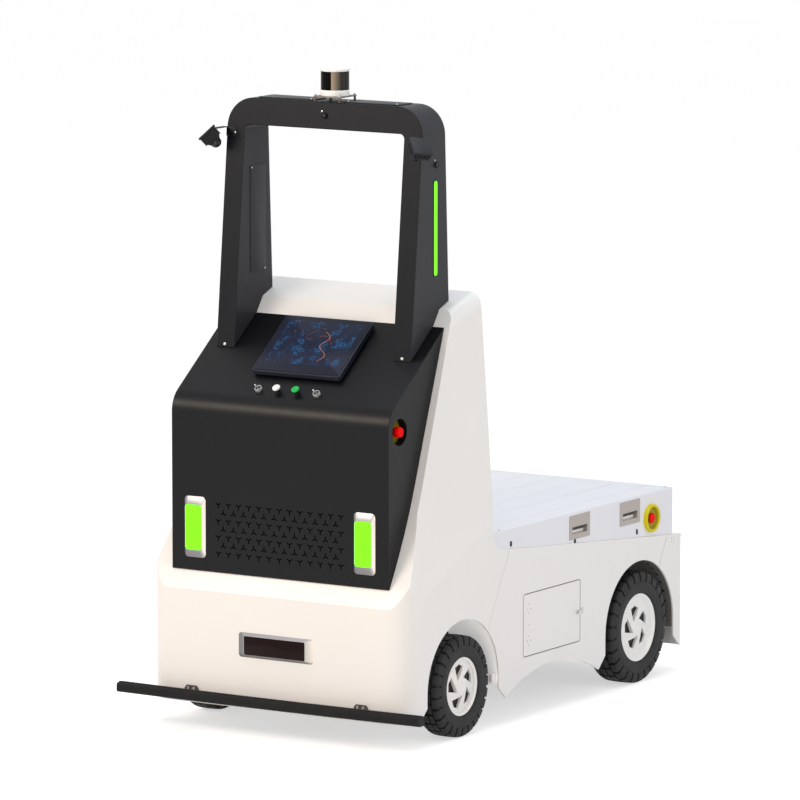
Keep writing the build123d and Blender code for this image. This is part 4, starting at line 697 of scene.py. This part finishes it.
def tyre(node, rim_node):
    low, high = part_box(node)
    centre = (low + high) / 2
    half_width = (high.x - low.x) / 2
    outer = (high.z - low.z) / 2
    rim_low, rim_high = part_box(rim_node)
    bead = (rim_high.z - rim_low.z) / 2 - 5 * MM
    half_section = [(share_w, share_h, "wall", 0.0) for share_w, share_h in TYRE_WALL] + list(TYRE_TREAD)
    section = [(share_w, share_h, row, depth, 1) for share_w, share_h, row, depth in half_section]
    section += [(-share_w, share_h, row, depth, -1) for share_w, share_h, row, depth in half_section[-2::-1]]
    shape = bmesh.new()
    rings = []
    for lug in range(LUGS):
        for fraction in LUG_COLUMNS:
            ring = []
            for share_w, share_h, row, depth, side in section:
                shift = 0.5 if side < 0 and row == "side" else 0.0
                angle = 2 * math.pi * (lug + fraction + shift) / LUGS
                cut = GROOVE_DEPTH * groove_share(row, depth, fraction)
                lean = max(0.0, (share_h - 0.55) / 0.45)
                across = share_w * half_width - side * cut * (1 - lean) * 0.8
                radius = bead + share_h * (outer - bead) - cut * lean
                ring.append(shape.verts.new((
                    centre.x + across,
                    centre.y + radius * math.sin(angle),
                    centre.z + radius * math.cos(angle),
                )))
            rings.append(ring)
    join_loops(shape, rings + rings[:1])
    return piece(node + "_treaded", shape, TYRE, BODY_OF_NODE[node], [node])


# Rims: a turned wheel with five swirled windows and a dark drum behind them.
# Columns: radius, turn in degrees.
WINDOW_CORNERS = ((92, 15), (94, -6), (83, -26), (39, 40))
WINDOW_START = 100
WINDOW_STEP = 72


def cut_away(made, shape):
    """Takes a helper solid out of a piece for good."""
    mesh = bpy.data.meshes.new("cutter")
    bmesh.ops.recalc_face_normals(shape, faces=shape.faces)
    shape.to_mesh(mesh)
    shape.free()
    cutter = bpy.data.objects.new("cutter", mesh)
    bpy.context.scene.collection.objects.link(cutter)
    cutting = made.modifiers.new("cutting", "BOOLEAN")
    cutting.operation = "DIFFERENCE"
    cutting.solver = "EXACT"
    cutting.object = cutter
    result = bpy.data.meshes.new_from_object(made.evaluated_get(bpy.context.evaluated_depsgraph_get()))
    made.modifiers.clear()
    made.data = result
    bpy.data.objects.remove(cutter)
    result.shade_smooth()
    result.set_sharp_from_angle(angle=SMOOTH_ANGLE)


def rim(node, tyre_node, rim_radius, setback):
    low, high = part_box(tyre_node)
    hub = (low + high) / 2
    half = (high.x - low.x) / 2 / MM
    side = math.copysign(1.0, hub.x)
    barrel = rim_radius - 6.2
    face = half - setback
    flange = half - 14.8
    # Columns: radius, distance out along the axle.
    profile = (
        (0, face + 7), (22, face + 7), (24, face + 8), (33, face + 8), (36, face + 6), (67.6, face),
        (109, face - 4), (0.35 * 109 + 0.65 * (barrel - 6), face - 5), (barrel - 9, flange + 1),
        (barrel - 4, flange + 4), (rim_radius - 3, flange + 7), (rim_radius, flange + 6),
        (rim_radius, flange), (barrel, flange), (barrel, -flange), (rim_radius, -flange),
        (rim_radius, -flange - 7), (barrel - 6, -flange - 7), (barrel - 6, face - 12), (103, face - 12),
        (36, face - 12), (36, face - 50), (20.1, face - 50), (20.1, face - 12), (0, face - 12),
    )
    where = place_on(hub, (side, 0.0, 0.0))
    wheel = BODY_OF_NODE[node]
    made = like_pieces(turned, node + "_finished", RIM_WHITE, [where], (profile, 80), wheel, [node])
    windows = bmesh.new()
    for k in range(5):
        outline = []
        for radius, turn in WINDOW_CORNERS:
            angle = math.radians(WINDOW_START + WINDOW_STEP * k + turn)
            outline.append((side * radius * math.cos(angle), side * radius * math.sin(angle)))
        prism(windows, where, outline, face - 25, face + 25)
    cut_away(made, windows)
    soften(made, 1.6, 35)
    hollow = [(37, face - 13), (98, face - 13), (101, face - 16), (101, face - 34), (37, face - 34)]
    drum = bmesh.new()
    turned(drum, where, hollow + hollow[:1], 64)
    bmesh.ops.remove_doubles(drum, verts=drum.verts, dist=WELD)
    piece(node.replace("rim", "brake_drum"), drum, SENSOR, wheel)


# Columns: corner, rim radius, setback of the wheel's face.
WHEELS = (
    ("front_left", 126, 14), ("front_right", 126, 14), ("rear_left", 150, 18), ("rear_right", 150, 18),
)
for corner, rim_size, face_setback in WHEELS:
    tyre("tyre_" + corner, "rim_" + corner)
    rim("rim_" + corner, "tyre_" + corner, rim_size, face_setback)


# Edges that the light catches.

def on_cowl_crease(middle):
    return middle.y < -0.93 and 0.56 < middle.z < 0.90


def round_the_grille(middle):
    return abs(middle.y + 1.088) < 0.010 and abs(middle.x) < 0.345 and 0.69 < middle.z < 0.99


def on_bumper_top(middle):
    return middle.z > 0.166


def on_deck_edge(middle):
    return middle.z > 0.81 and (abs(middle.x) > 0.62 or middle.y > 1.04)


# Columns: node, rounding radius, least angle, broad edges, edges left sharp.
ROUNDED = (
    ("front_cowl", 4, 20, (24, 14, on_cowl_crease)), ("console_cover", 3, 20, None, round_the_grille),
    ("sensor_arch", 4), ("deck_lid", 0.8, 30, (8, 40, on_deck_edge)),
    ("side_panel_left", 1.5), ("side_panel_right", 1.5), ("side_door_left", 1.5), ("side_door_right", 1.5),
    ("rear_panel", 1.5), ("bumper", 2, 30, (13, 40, on_bumper_top)), ("deck_handles", 0.8, 40),
    ("tow_hitch", 2, 40), ("rear_lamps", 3, 40), ("bumper_brackets", 1.5, 40),
)
for row in ROUNDED:
    rounded_copy(*row)

# The cowl's wings run up to the lid's rounded front corner. Columns: along Y, along Z.
CORNER_Y, CORNER_Z, CORNER_BEND = (-442.0, 744.4, 51.6)
wing = [(-498, 799), (CORNER_Y, 799)]
for k in range(9):
    turn = math.radians(180 + 85 * k / 8)
    along = 1 + math.cos(turn)
    rise = 1 + math.sin(turn)
    wing.append((CORNER_Y + CORNER_BEND * along, CORNER_Z + CORNER_BEND * rise))
wing += [(-330, 733.9), (-330, 730), (-498, 730)]
wing_seats = [place_on((x, 0.0, 0.0), LEFT) for x in (0.6325, -0.6399)]
soften(like_pieces(prism, "cowl_wing_tops", WHITE, wing_seats, (wing, 0, 7.4)), 0.8)


# Emergency stops: red mushrooms with a rolled rim, and yellow dishes round those on the deck.
MUSHROOM = (
    (0.55, 0.00), (0.86, 0.02), (0.97, 0.14), (1.00, 0.30), (1.00, 0.52), (0.96, 0.72),
    (0.86, 0.90), (0.72, 0.985), (0.60, 1.00), (0.30, 0.96), (0.0, 0.95),
)
STOP_DISH = (
    (0, 0), (61, 0), (60.5, 9), (59.5, 13), (57.5, 15.5), (55, 16), (51, 15.5), (49, 13.5), (46, 6),
    (43, 1), (0, 1),
)


def stop_heads(node, spot, reach, height, stem):
    """Heads on both sides of the vehicle, each on its stem and out along X."""
    profile = [(0, -stem), (0.62 * reach, -stem)]
    profile += [(share * reach, rise * height) for share, rise in MUSHROOM]
    body = BODY_OF_NODE[node]
    like_pieces(turned, node + "_crowned", STOP_RED, pairs(LEFT, spot), (profile, 40), body, [node])


stop_heads("console_stop_heads", (0.506, -1.005, 1.300), 23, 32, 12)
stop_heads("deck_stop_heads", (0.632, DECK_STOP_Y, DECK_STOP_Z), 23, 10, 0)
like_pieces(
    turned, "deck_stop_bowls", DISH_YELLOW, pairs(LEFT, (0.631, DECK_STOP_Y, DECK_STOP_Z)), (STOP_DISH, 64),
    "deck_lid", ["deck_stop_dishes"],
)


# Head lamps, display and touch screen.

def trim_frame(name, seats, outlines, depth, replaced):
    """A tapered frame. Columns of its foot, top and hole: width, height, corner."""
    foot, top, hole = [rounded_outline(*sizes) for sizes in outlines]
    loops = ((foot, 0), (top, depth), (hole, depth), (hole, 0))
    soften(like_pieces(band, name, FRAME_TRIM, seats, loops, "chassis", [replaced]), 0.7)


LAMP_OUTLINES = ((104, 256, 18), (83, 193, 15.5), (80, 190, 14))
LAMP_LENS = (79.6, 189.6, 13.8, 14.5, 2.5)
DISPLAY_OUTLINES = ((367, 104, 14), (301, 81, 7.5), (298, 78, 6))
DISPLAY_GLASS = (297.6, 77.6, 5.8, 14.5, 0.8)
lamp_seats = pairs(FORWARD, (0.414, -1.091, 0.843))
trim_frame("lamp_frames", lamp_seats, LAMP_OUTLINES, 14, "head_lamp_frames")
like_pieces(plate, "lamp_lenses", GREEN_LIGHT, lamp_seats, LAMP_LENS, replaces=["head_lamp_lenses"])
display_seats = [place_on((0.0, -1.117, 0.377), FORWARD)]
trim_frame("display_rim", display_seats, DISPLAY_OUTLINES, 16, "display_frame")
like_pieces(plate, "display_glass", SCREEN, display_seats, DISPLAY_GLASS, replaces=["display_screen"])

tablet_seat = on_slope(0.0, TABLET_Y, BACKWARD)
tablet = bmesh.new()
prism(tablet, tablet_seat, rounded_outline(340, 245, 10), 0, 8, rounded_outline(400, 305, 12))
plate(tablet, raised(tablet_seat, 8), 430, 335, 14, 23, 4)
soften(piece("touch_screen_case", tablet, SLATE, "chassis", ["tablet_case"]), 0.6)
like_pieces(
    plate, "touch_screen_glass", CHART, [raised(tablet_seat, 31)], (418, 323, 9, 3, 0.8),
    replaces=["tablet_screen"],
)


# Controls on the slope: key switches and two push buttons.
WHITE_SEAT, GREEN_SEAT = [on_slope(x, -1.021, LEFT) for x in (-0.049, 0.044)]
KEY_X = (-0.142, 0.142)
KEY_SEATS = [on_slope(x, -1.021, LEFT) for x in KEY_X]
BUTTON_CAP = (
    (0, 20), (12, 20), (16, 21), (17, 23), (17, 26), (16, 28), (13, 28.6), (6, 28.8), (0, 28.8),
)
BUTTON_BARREL = ((0, 0), (15, 0), (15, 4), (14, 5), (12, 5.2), (12, 20), (0, 20))
KEY_RING = (
    (0, 0), (15, 0), (15, 5), (12, 5.5), (12, 11), (15, 11.2), (16, 12), (16, 15), (15, 16), (12.5, 16),
    (12, 15), (11.5, 12), (0, 12),
)
KEY_BARREL = ((0, 12), (11, 12), (11, 13.8), (10, 14.6), (0, 14.6))
# Columns: name, finish, places, profile, slot if not the finish's own, node that it replaces.
CONTROLS = (
    ("white_button_cap", BUTTON_WHITE, [WHITE_SEAT], BUTTON_CAP, None, ["white_button"]),
    ("green_button_cap", BUTTON_GREEN, [GREEN_SEAT], BUTTON_CAP, None, ["green_button"]),
    ("button_barrels", SENSOR, [WHITE_SEAT, GREEN_SEAT], BUTTON_BARREL, None, []),
    ("key_switch_rings", BRIGHT, KEY_SEATS, KEY_RING, "steel", ["key_switches"]),
    ("key_switch_barrels", SENSOR, KEY_SEATS, KEY_BARREL, None, []),
)
for name, finish, seats, profile, slot, replaced in CONTROLS:
    like_pieces(turned, name, finish, seats, (profile, 32), "chassis", replaced)
like_pieces(plate, "key_slots", STEEL, [raised(seat, 14.6) for seat in KEY_SEATS], (14, 3, 1.2, 0.6, 0.2))

# Trapezoid plates of the bumper brackets, on the cowl's face.
BRACKET_PLATE = ((-34, 0), (34, 0), (33, 16), (24, 29), (-24, 29), (-33, 16))
plate_seats = pairs(FORWARD, (0.415, -1.117, 0.154))
bracket_plates = (BRACKET_PLATE, 0, 8)
soften(like_pieces(prism, "bracket_plates", DARK_STEEL, plate_seats, bracket_plates), 1.2)


# Scanner: a thin stand on four posts, a white base and cap, and the round window between.
# Columns: radius, height above the ground.
SCANNER_BASE = ((0, 2617), (60, 2617), (61, 2618), (61, 2640), (60, 2642), (0, 2642))
SCANNER_CAP = ((0, 2719), (60, 2719), (61, 2720), (61, 2728), (59.5, 2730), (0, 2730))
SCANNER_DRUM = ((0, 2642), (59, 2642), (59, 2682), (59, 2719), (0, 2719))
STAND_POST = ((0, 0), (7, 0), (7, 4), (5, 5), (5, 18), (0, 18))
drum_axis = Matrix.Translation((0.0, SCANNER_Y, 0.0))
shells = bmesh.new()
for shell in (SCANNER_BASE, SCANNER_CAP):
    turned(shells, drum_axis, shell, 64)
piece("scanner_shells", shells, WHITE, replaces=["scanner_housing"])
like_pieces(turned, "scanner_glass", WINDOW, [drum_axis], (SCANNER_DRUM, 64), replaces=["scanner_window"])
stand = bmesh.new()
plate(stand, raised(drum_axis, 2613), 134, 134, 8, 4, 0.8)
for x in (-0.059, 0.059):
    for y in (-0.059, 0.059):
        turned(stand, drum_axis @ Matrix.Translation((x, y, 2.595)), STAND_POST, 16)
piece("scanner_stand_posts", stand, DARK_STEEL, "chassis", ["scanner_stand"])


# Covers on the arch's top and on the inner faces of its legs, and the light strips on its sides.
covers = bmesh.new()
for seat in pairs(UP, (0.209, -0.6615, 2.595)):
    plate(covers, seat, 263, 110, 4, 5, 0.8)
for seat in pairs(RIGHT, (0.388, -0.6525, 2.0855)):
    plate(covers, seat, 118, 449, 12, 2, 0.8)
piece("arch_cover_plates", covers, ARCH_BLACK, replaces=["arch_covers"])
strip_seats = pairs(LEFT, (0.476, -0.645, 2.094))
like_pieces(
    plate, "light_strip_lenses", GREEN_LIGHT, [raised(seat, -3.8) for seat in strip_seats],
    (25.6, 391.6, 12.6, 6, 2), replaces=["arch_light_strips"],
)
like_pieces(ring, "light_strip_seals", SENSOR, strip_seats, ((34, 400, 16), (26, 392, 12.8), 1.5))


# Corner sensors: a finned block under a plate, tilted out from each end of the arch, with a domed lens.
DOME = [(0, -48), (24, -48)]
for degrees in range(0, 90, 10):
    DOME.append((24 * math.cos(math.radians(degrees)), -50 - 24 * math.sin(math.radians(degrees))))
DOME.append((0, -74))
FIN_STEPS = ((-2.5, 0), (-2.5, 7), (2.5, 7), (2.5, 0))
fins = [(40, -40)]
for groove in range(-3, 4):
    fins += [(40 - depth, 10 * groove + step) for step, depth in FIN_STEPS]
comb = []
for across, along in ((1, 0), (0, 1), (-1, 0), (0, -1)):
    comb += [(across * x - along * y, along * x + across * y) for x, y in fins]
blocks = bmesh.new()
domes = bmesh.new()
shelves = bmesh.new()
for side in (1.0, -1.0):
    aim = Vector((side * 0.298, 0.618, 0.0)).normalized()
    out = Vector((side * 0.618, -0.298, 0.728)).normalized()
    turn = Matrix((aim, out.cross(aim), out)).transposed().to_4x4()
    roll = Matrix.Rotation(math.radians(-10 * side), 4, "Z")
    lean = Matrix.Translation((side * 0.521, -0.828, 2.447)) @ turn @ roll
    plate(blocks, lean, 88, 88, 6, 8, 1.5)
    prism(blocks, lean, comb, -36, 0)
    prism(blocks, lean, rounded_outline(46, 46, 5), -50, -36, rounded_outline(66, 66, 6))
    turned(domes, lean, DOME, 32)
    plate(shelves, on_arch(side * 0.4515, 2.452), 49, 40, 5, 4, 0.8)
    plate(shelves, Matrix.Translation((side * 0.484, -0.787, 2.468)), 24, 74, 3, 4, 0.8)
finned = piece("corner_sensor_blocks", blocks, SENSOR_GREY, "chassis", ["corner_sensors"])
soften(finned, 0.5, 40)
piece("corner_sensor_domes", domes, LENS_BLACK, "chassis")
piece("corner_sensor_brackets", shelves, ARCH_BLACK, replaces=["corner_brackets"])

# Cameras on the arch: a bezel and a dark glass.
CAMERA_BEZEL = ((0, 0), (13, 0), (13, 7), (12, 9), (10.5, 9.6), (9.5, 9), (8.6, 6), (0, 6))
CAMERA_GLASS = ((0, 6), (8.5, 6), (7.6, 7.6), (5, 8.8), (2.2, 9.3), (0, 9.4))
camera_seats = [on_arch(0.0, 2.540)] + pairs(LEFT, (0.476, -0.641, 2.355))
like_pieces(turned, "camera_bezels", SENSOR, camera_seats, (CAMERA_BEZEL, 28), replaces=["arch_cameras"])
like_pieces(turned, "camera_glasses", LENS_BLACK, camera_seats, (CAMERA_GLASS, 28))


# Fasteners. A socket screw has a recess, a rivet a plain dome, a nut its stud.
SOCKET_SCREW = (
    (0.0, 0.0), (1.0, 0.0), (1.0, 0.70), (0.85, 0.95), (0.55, 1.0), (0.50, 0.95), (0.46, 0.45), (0.0, 0.45),
)
DOME_RIVET = ((0.0, 0.0), (1.0, 0.0), (0.96, 0.35), (0.75, 0.75), (0.40, 0.96), (0.0, 1.0))
HEX_NUT = (
    (0.0, 0.0), (1.0, 0.0), (1.0, 0.85), (0.86, 1.0), (0.52, 1.0), (0.50, 1.5), (0.42, 1.6), (0.0, 1.6),
)


def fasteners(name, kind, reach, height, finish, seats, body="chassis", sides=16):
    """One joined piece of like fasteners, of a profile of shares scaled to a radius and a height."""
    profile = [(share * reach, rise * height) for share, rise in kind]
    like_pieces(turned, name, finish, seats, (profile, sides), body)


arch_bolts = [on_arch(-0.013, 2.557)] + pairs(LEFT, (0.476, -0.652, 2.374))
arch_bolts += pairs(RIGHT, (0.386, -0.700, 2.300), (0.386, -0.605, 1.872))
arch_bolts += pairs(UP, *[(x, y, 2.600) for x in (0.090, 0.327) for y in (-0.702, -0.622)])
tab_bolts = [on_arch(x, 2.449, 4 * MM) for x in (0.4305, -0.4305)]
foot_bolts = [on_arch(x, 1.574) for x in (0.4335, -0.4335)]
scanner_nuts = pairs(UP, (0.059, -0.721, 2.617), (0.059, -0.603, 2.617))
bracket_bolts = pairs(FORWARD, (0.401, -1.125, 0.172), (0.429, -1.125, 0.172))
deck_screws = pairs(UP, (0.610, -0.360, 0.815), (0.610, 1.020, 0.815))
hitch_bolts = pairs(BACKWARD, (0.054, 1.141, 0.236), (0.054, 1.141, 0.364))
console_screws = [on_slope(x, -0.668) for x in (-0.1545, -0.1164, 0.1202, 0.1580)]
key_studs = [on_slope(x - 0.033, -0.999) for x in KEY_X]
panel_dots = pairs(LEFT, *[(0.640, y, z) for y in (1.026, 1.044) for z in (0.578, 0.592)])
rear_screws = pairs(BACKWARD, *[(x, 1.126, z) for x in (0.30, 0.60) for z in (0.16, 0.57)])
mudguard_plugs = []
for step in range(19):
    turn = math.radians(5 + 9.4 * step)
    back = math.cos(turn)
    rise = math.sin(turn)
    mudguard_plugs += pairs((0.0, -back, -rise), (0.600, 0.756 + 0.2905 * back, 0.242 + 0.2905 * rise))
fasteners("arch_bolts", SOCKET_SCREW, 4.2, 3, BRIGHT, arch_bolts)
fasteners("tab_bolts", SOCKET_SCREW, 4.2, 3, BRIGHT, tab_bolts)
fasteners("arch_foot_bolts", DOME_RIVET, 8, 5, BRIGHT, foot_bolts)
fasteners("scanner_nuts", HEX_NUT, 7, 5, STEEL, scanner_nuts, sides=6)
fasteners("bracket_bolts", SOCKET_SCREW, 6, 5, BRIGHT, bracket_bolts)
fasteners("deck_screws", SOCKET_SCREW, 5, 1.2, STEEL, deck_screws, "deck_lid")
fasteners("hitch_bolts", SOCKET_SCREW, 9, 7, STEEL, hitch_bolts)
fasteners("console_screws", SOCKET_SCREW, 4, 2.5, BRIGHT, console_screws)
fasteners("mudguard_plugs", DOME_RIVET, 7, 3, SENSOR, mudguard_plugs)
fasteners("rear_panel_dots", DOME_RIVET, 2.2, 1, STEEL, panel_dots)
fasteners("key_studs", DOME_RIVET, 5, 5, BRIGHT, key_studs)
fasteners("rear_panel_screws", SOCKET_SCREW, 5, 2.5, STEEL, rear_screws)

# Doors: hinge screws, a turned knob, the lock's keep beside it and a bead round the edge.
DOOR_KNOB = (
    (0, 0), (8, 0), (7, 3), (6.5, 6), (9, 9), (10.5, 12), (10.5, 15), (9, 17), (5, 18), (0, 18),
)
DOOR_BEAD = ((467, 266, 12), (463, 262, 10), 0.9)
hinge_screws = [(-0.166, 0.392)]
for middle in (0.459, 0.325):
    hinge_screws += [(-0.166, middle + 0.019), (-0.166, middle - 0.019), (-0.152, middle), (-0.180, middle)]
for side_name, facing in (("left", LEFT), ("right", RIGHT)):
    door = "side_door_" + side_name
    face_x = 0.640 * facing[0]
    knob_seat = place_on((face_x, 0.227, 0.389), facing)
    keep_seat = place_on((face_x, 0.268, 0.389), facing)
    bead_seat = place_on((0.6395 * facing[0], 0.0203, 0.3925), facing)
    screw_seats = [place_on((face_x, y, z), facing) for y, z in hinge_screws]
    like_pieces(turned, "door_knob_" + side_name, BRIGHT, [knob_seat], (DOOR_KNOB, 28), door)
    like_pieces(plate, "door_keep_" + side_name, BRIGHT, [keep_seat], (16, 26, 5, 3, 1.5))
    like_pieces(
        ring, "door_edge_bead_" + side_name, SEAM_GREY, [bead_seat], DOOR_BEAD, door,
    )
    fasteners("door_hinge_screws_" + side_name, DOME_RIVET, 3, 1.2, STEEL, screw_seats, door)

# On the lid: small black proximity sensors, beads that nearly fill its grooves, a lip in each hand hold.
skirt_seats = pairs(LEFT, (0.631, -0.300, 0.752), (0.631, 0.222, 0.6905), (0.631, 0.743, 0.659))
groove_seats = pairs(UP, *[(x, 0.3045, 0.813) for x in (0.075, 0.225, 0.375, 0.525)])
lip_seats = pairs(LEFT, (0.612, 0.260, 0.7285), (0.612, 0.682, 0.7285))
like_pieces(plate, "skirt_sensors", SENSOR, skirt_seats, (14, 24, 6.9, 2.5, 1.2), "deck_lid")
like_pieces(plate, "deck_groove_beads", DECK_WHITE, groove_seats, (7.8, 1426, 0.5, 1.5, 0.4), "deck_lid")
like_pieces(plate, "hand_hold_lips", WHITE, lip_seats, (116, 13, 2, 5, 2), "deck_lid")

# A near-black sheet behind the perforated field: painted shade that keeps the slots black.
grille_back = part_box("grille_panel")[1].y
mat_seat = place_on((0.0, grille_back + 4 * MM, 0.842), FORWARD)
like_pieces(
    plate, "grille_shade_sheet", SHADE_SHEET_BLACK, [mat_seat], (656, 264, 3, 3.5, 0.5),
)

# Seals behind the seams of the body's sides, and a clip at the front wheel opening's foot.
SEAL_X = 0.6265
SEAMS = (((-0.3340, 0.7150), (-0.4910, 0.4300)), ((0.9830, 0.6000), (0.9234, 0.4900)))
seals = bmesh.new()
for side in (1.0, -1.0):
    for start, end in SEAMS:
        depth = (side * 4.5 * MM, 0.0, 0.0)
        strip(seals, (side * SEAL_X, *start), (side * SEAL_X, *end), (0.0, 14 * MM, 0.0), depth)
for seat in pairs(LEFT, (SEAL_X, 0.021, 0.3925)):
    ring(seals, seat, (486, 285, 22), (446, 247, 12), 4.5)
piece("body_seals", seals, SEAL_GREY, "chassis")
clip_seats = pairs(LEFT, (0.6145, -0.4265, 0.2070))
like_pieces(plate, "wheel_opening_clips", WHITE, clip_seats, (36, 36, 5, 15, 3))

# Bezels round the rear lamps.
LAMP_BEZEL = ((136, 76, 16), (120, 60, 9), 7)
bezel_seats = pairs(BACKWARD, (0.500, 1.126, 0.480))
soften(like_pieces(ring, "rear_lamp_bezels", SENSOR, bezel_seats, LAMP_BEZEL), 1)


# Stage, lamps and camera.
FLOOR_SIZE = 60.0


def white_to_the_eye(shade):
    """1 where a camera, glossy or transmitted ray looks, which see the plain white backdrop."""
    seen = shade.node("ShaderNodeLightPath", out="Is Camera Ray")
    mirrored_ray = shade.node("ShaderNodeLightPath", out="Is Glossy Ray")
    through = shade.node("ShaderNodeLightPath", out="Is Transmission Ray")
    return shade.maths("MAXIMUM", shade.maths("MAXIMUM", seen, mirrored_ray), through)


def studio_floor(glow):
    shape = bmesh.new()
    bmesh.ops.create_grid(shape, x_segments=6, y_segments=6, size=FLOOR_SIZE / 2)
    mesh = bpy.data.meshes.new("floor")
    shape.to_mesh(mesh)
    shape.free()
    made = bpy.data.objects.new("floor", mesh)
    bpy.context.scene.collection.objects.link(made)
    shade, place = begin("floor_paper")
    cloud = shade.noise(place, 0.7, 2.0)
    paper_tone = cloud.blend((0.80, 0.80, 0.80, 1), (0.78, 0.78, 0.78, 1))
    paper = shade.node("ShaderNodeBsdfDiffuse", None, {"Color": paper_tone})
    strength = glow * white_to_the_eye(shade)
    lift = shade.node("ShaderNodeEmission", None, {"Color": (1, 1, 1, 1), "Strength": strength})
    lit = shade.node("ShaderNodeAddShader", None, {0: paper, 1: lift})
    shade.node("ShaderNodeOutputMaterial", None, {"Surface": lit})
    mesh.materials.append(shade.finish)


def studio_world(ambient):
    world = bpy.data.worlds.new("studio")
    world.use_nodes = True
    world.node_tree.nodes.clear()
    shade = Shade(world.node_tree)
    eye = white_to_the_eye(shade)
    strength = ambient + (1.0 - ambient) * eye
    sky = shade.node("ShaderNodeBackground", None, {"Color": (1, 1, 1, 1), "Strength": strength})
    shade.node("ShaderNodeOutputWorld", None, {"Surface": sky})
    bpy.context.scene.world = world


def soft_lamp(name, place, aim, size, watts, colour):
    data = bpy.data.lights.new(name, "AREA")
    data.shape = "RECTANGLE"
    data.size, data.size_y = size
    data.energy = watts
    data.color = colour
    made = bpy.data.objects.new(name, data)
    made.location = place
    made.rotation_euler = (Vector(aim) - Vector(place)).to_track_quat("-Z", "Y").to_euler()
    bpy.context.scene.collection.objects.link(made)


def photo_camera():
    data = bpy.data.cameras.new("photo_camera")
    data.lens = CAMERA_LENS
    data.sensor_width = 36.0
    data.clip_end = CAMERA_REACH
    made = bpy.data.objects.new("photo_camera", data)
    made.location = CAMERA_PLACE
    made.rotation_euler = (math.radians(90 - CAMERA_PITCH), 0.0, math.radians(CAMERA_HEADING))
    bpy.context.scene.collection.objects.link(made)
    bpy.context.scene.camera = made


studio_floor(0.56)
studio_world(0.55)
soft_lamp("key_lamp", (-3.3, -6.4, 4.3), (0.0, -1.0, 1.3), (3.2, 1.8), 215.0, (1.0, 0.85, 0.70))
soft_lamp("front_lamp", (3.2, -8.0, 1.3), (0.2, -0.8, 0.5), (3.0, 2.0), 102.0, (1.0, 0.83, 0.66))
soft_lamp("side_lamp", (6.5, 1.0, 2.5), (0.0, 0.2, 0.6), (4.0, 3.0), 66.0, (1.0, 0.98, 0.99))
soft_lamp("top_lamp", (0.5, -0.4, 6.3), (0.0, 0.1, 0.8), (3.6, 3.6), 128.0, (0.80, 0.90, 1.0))
photo_camera()
bpy.context.scene.view_settings.view_transform = "Standard"
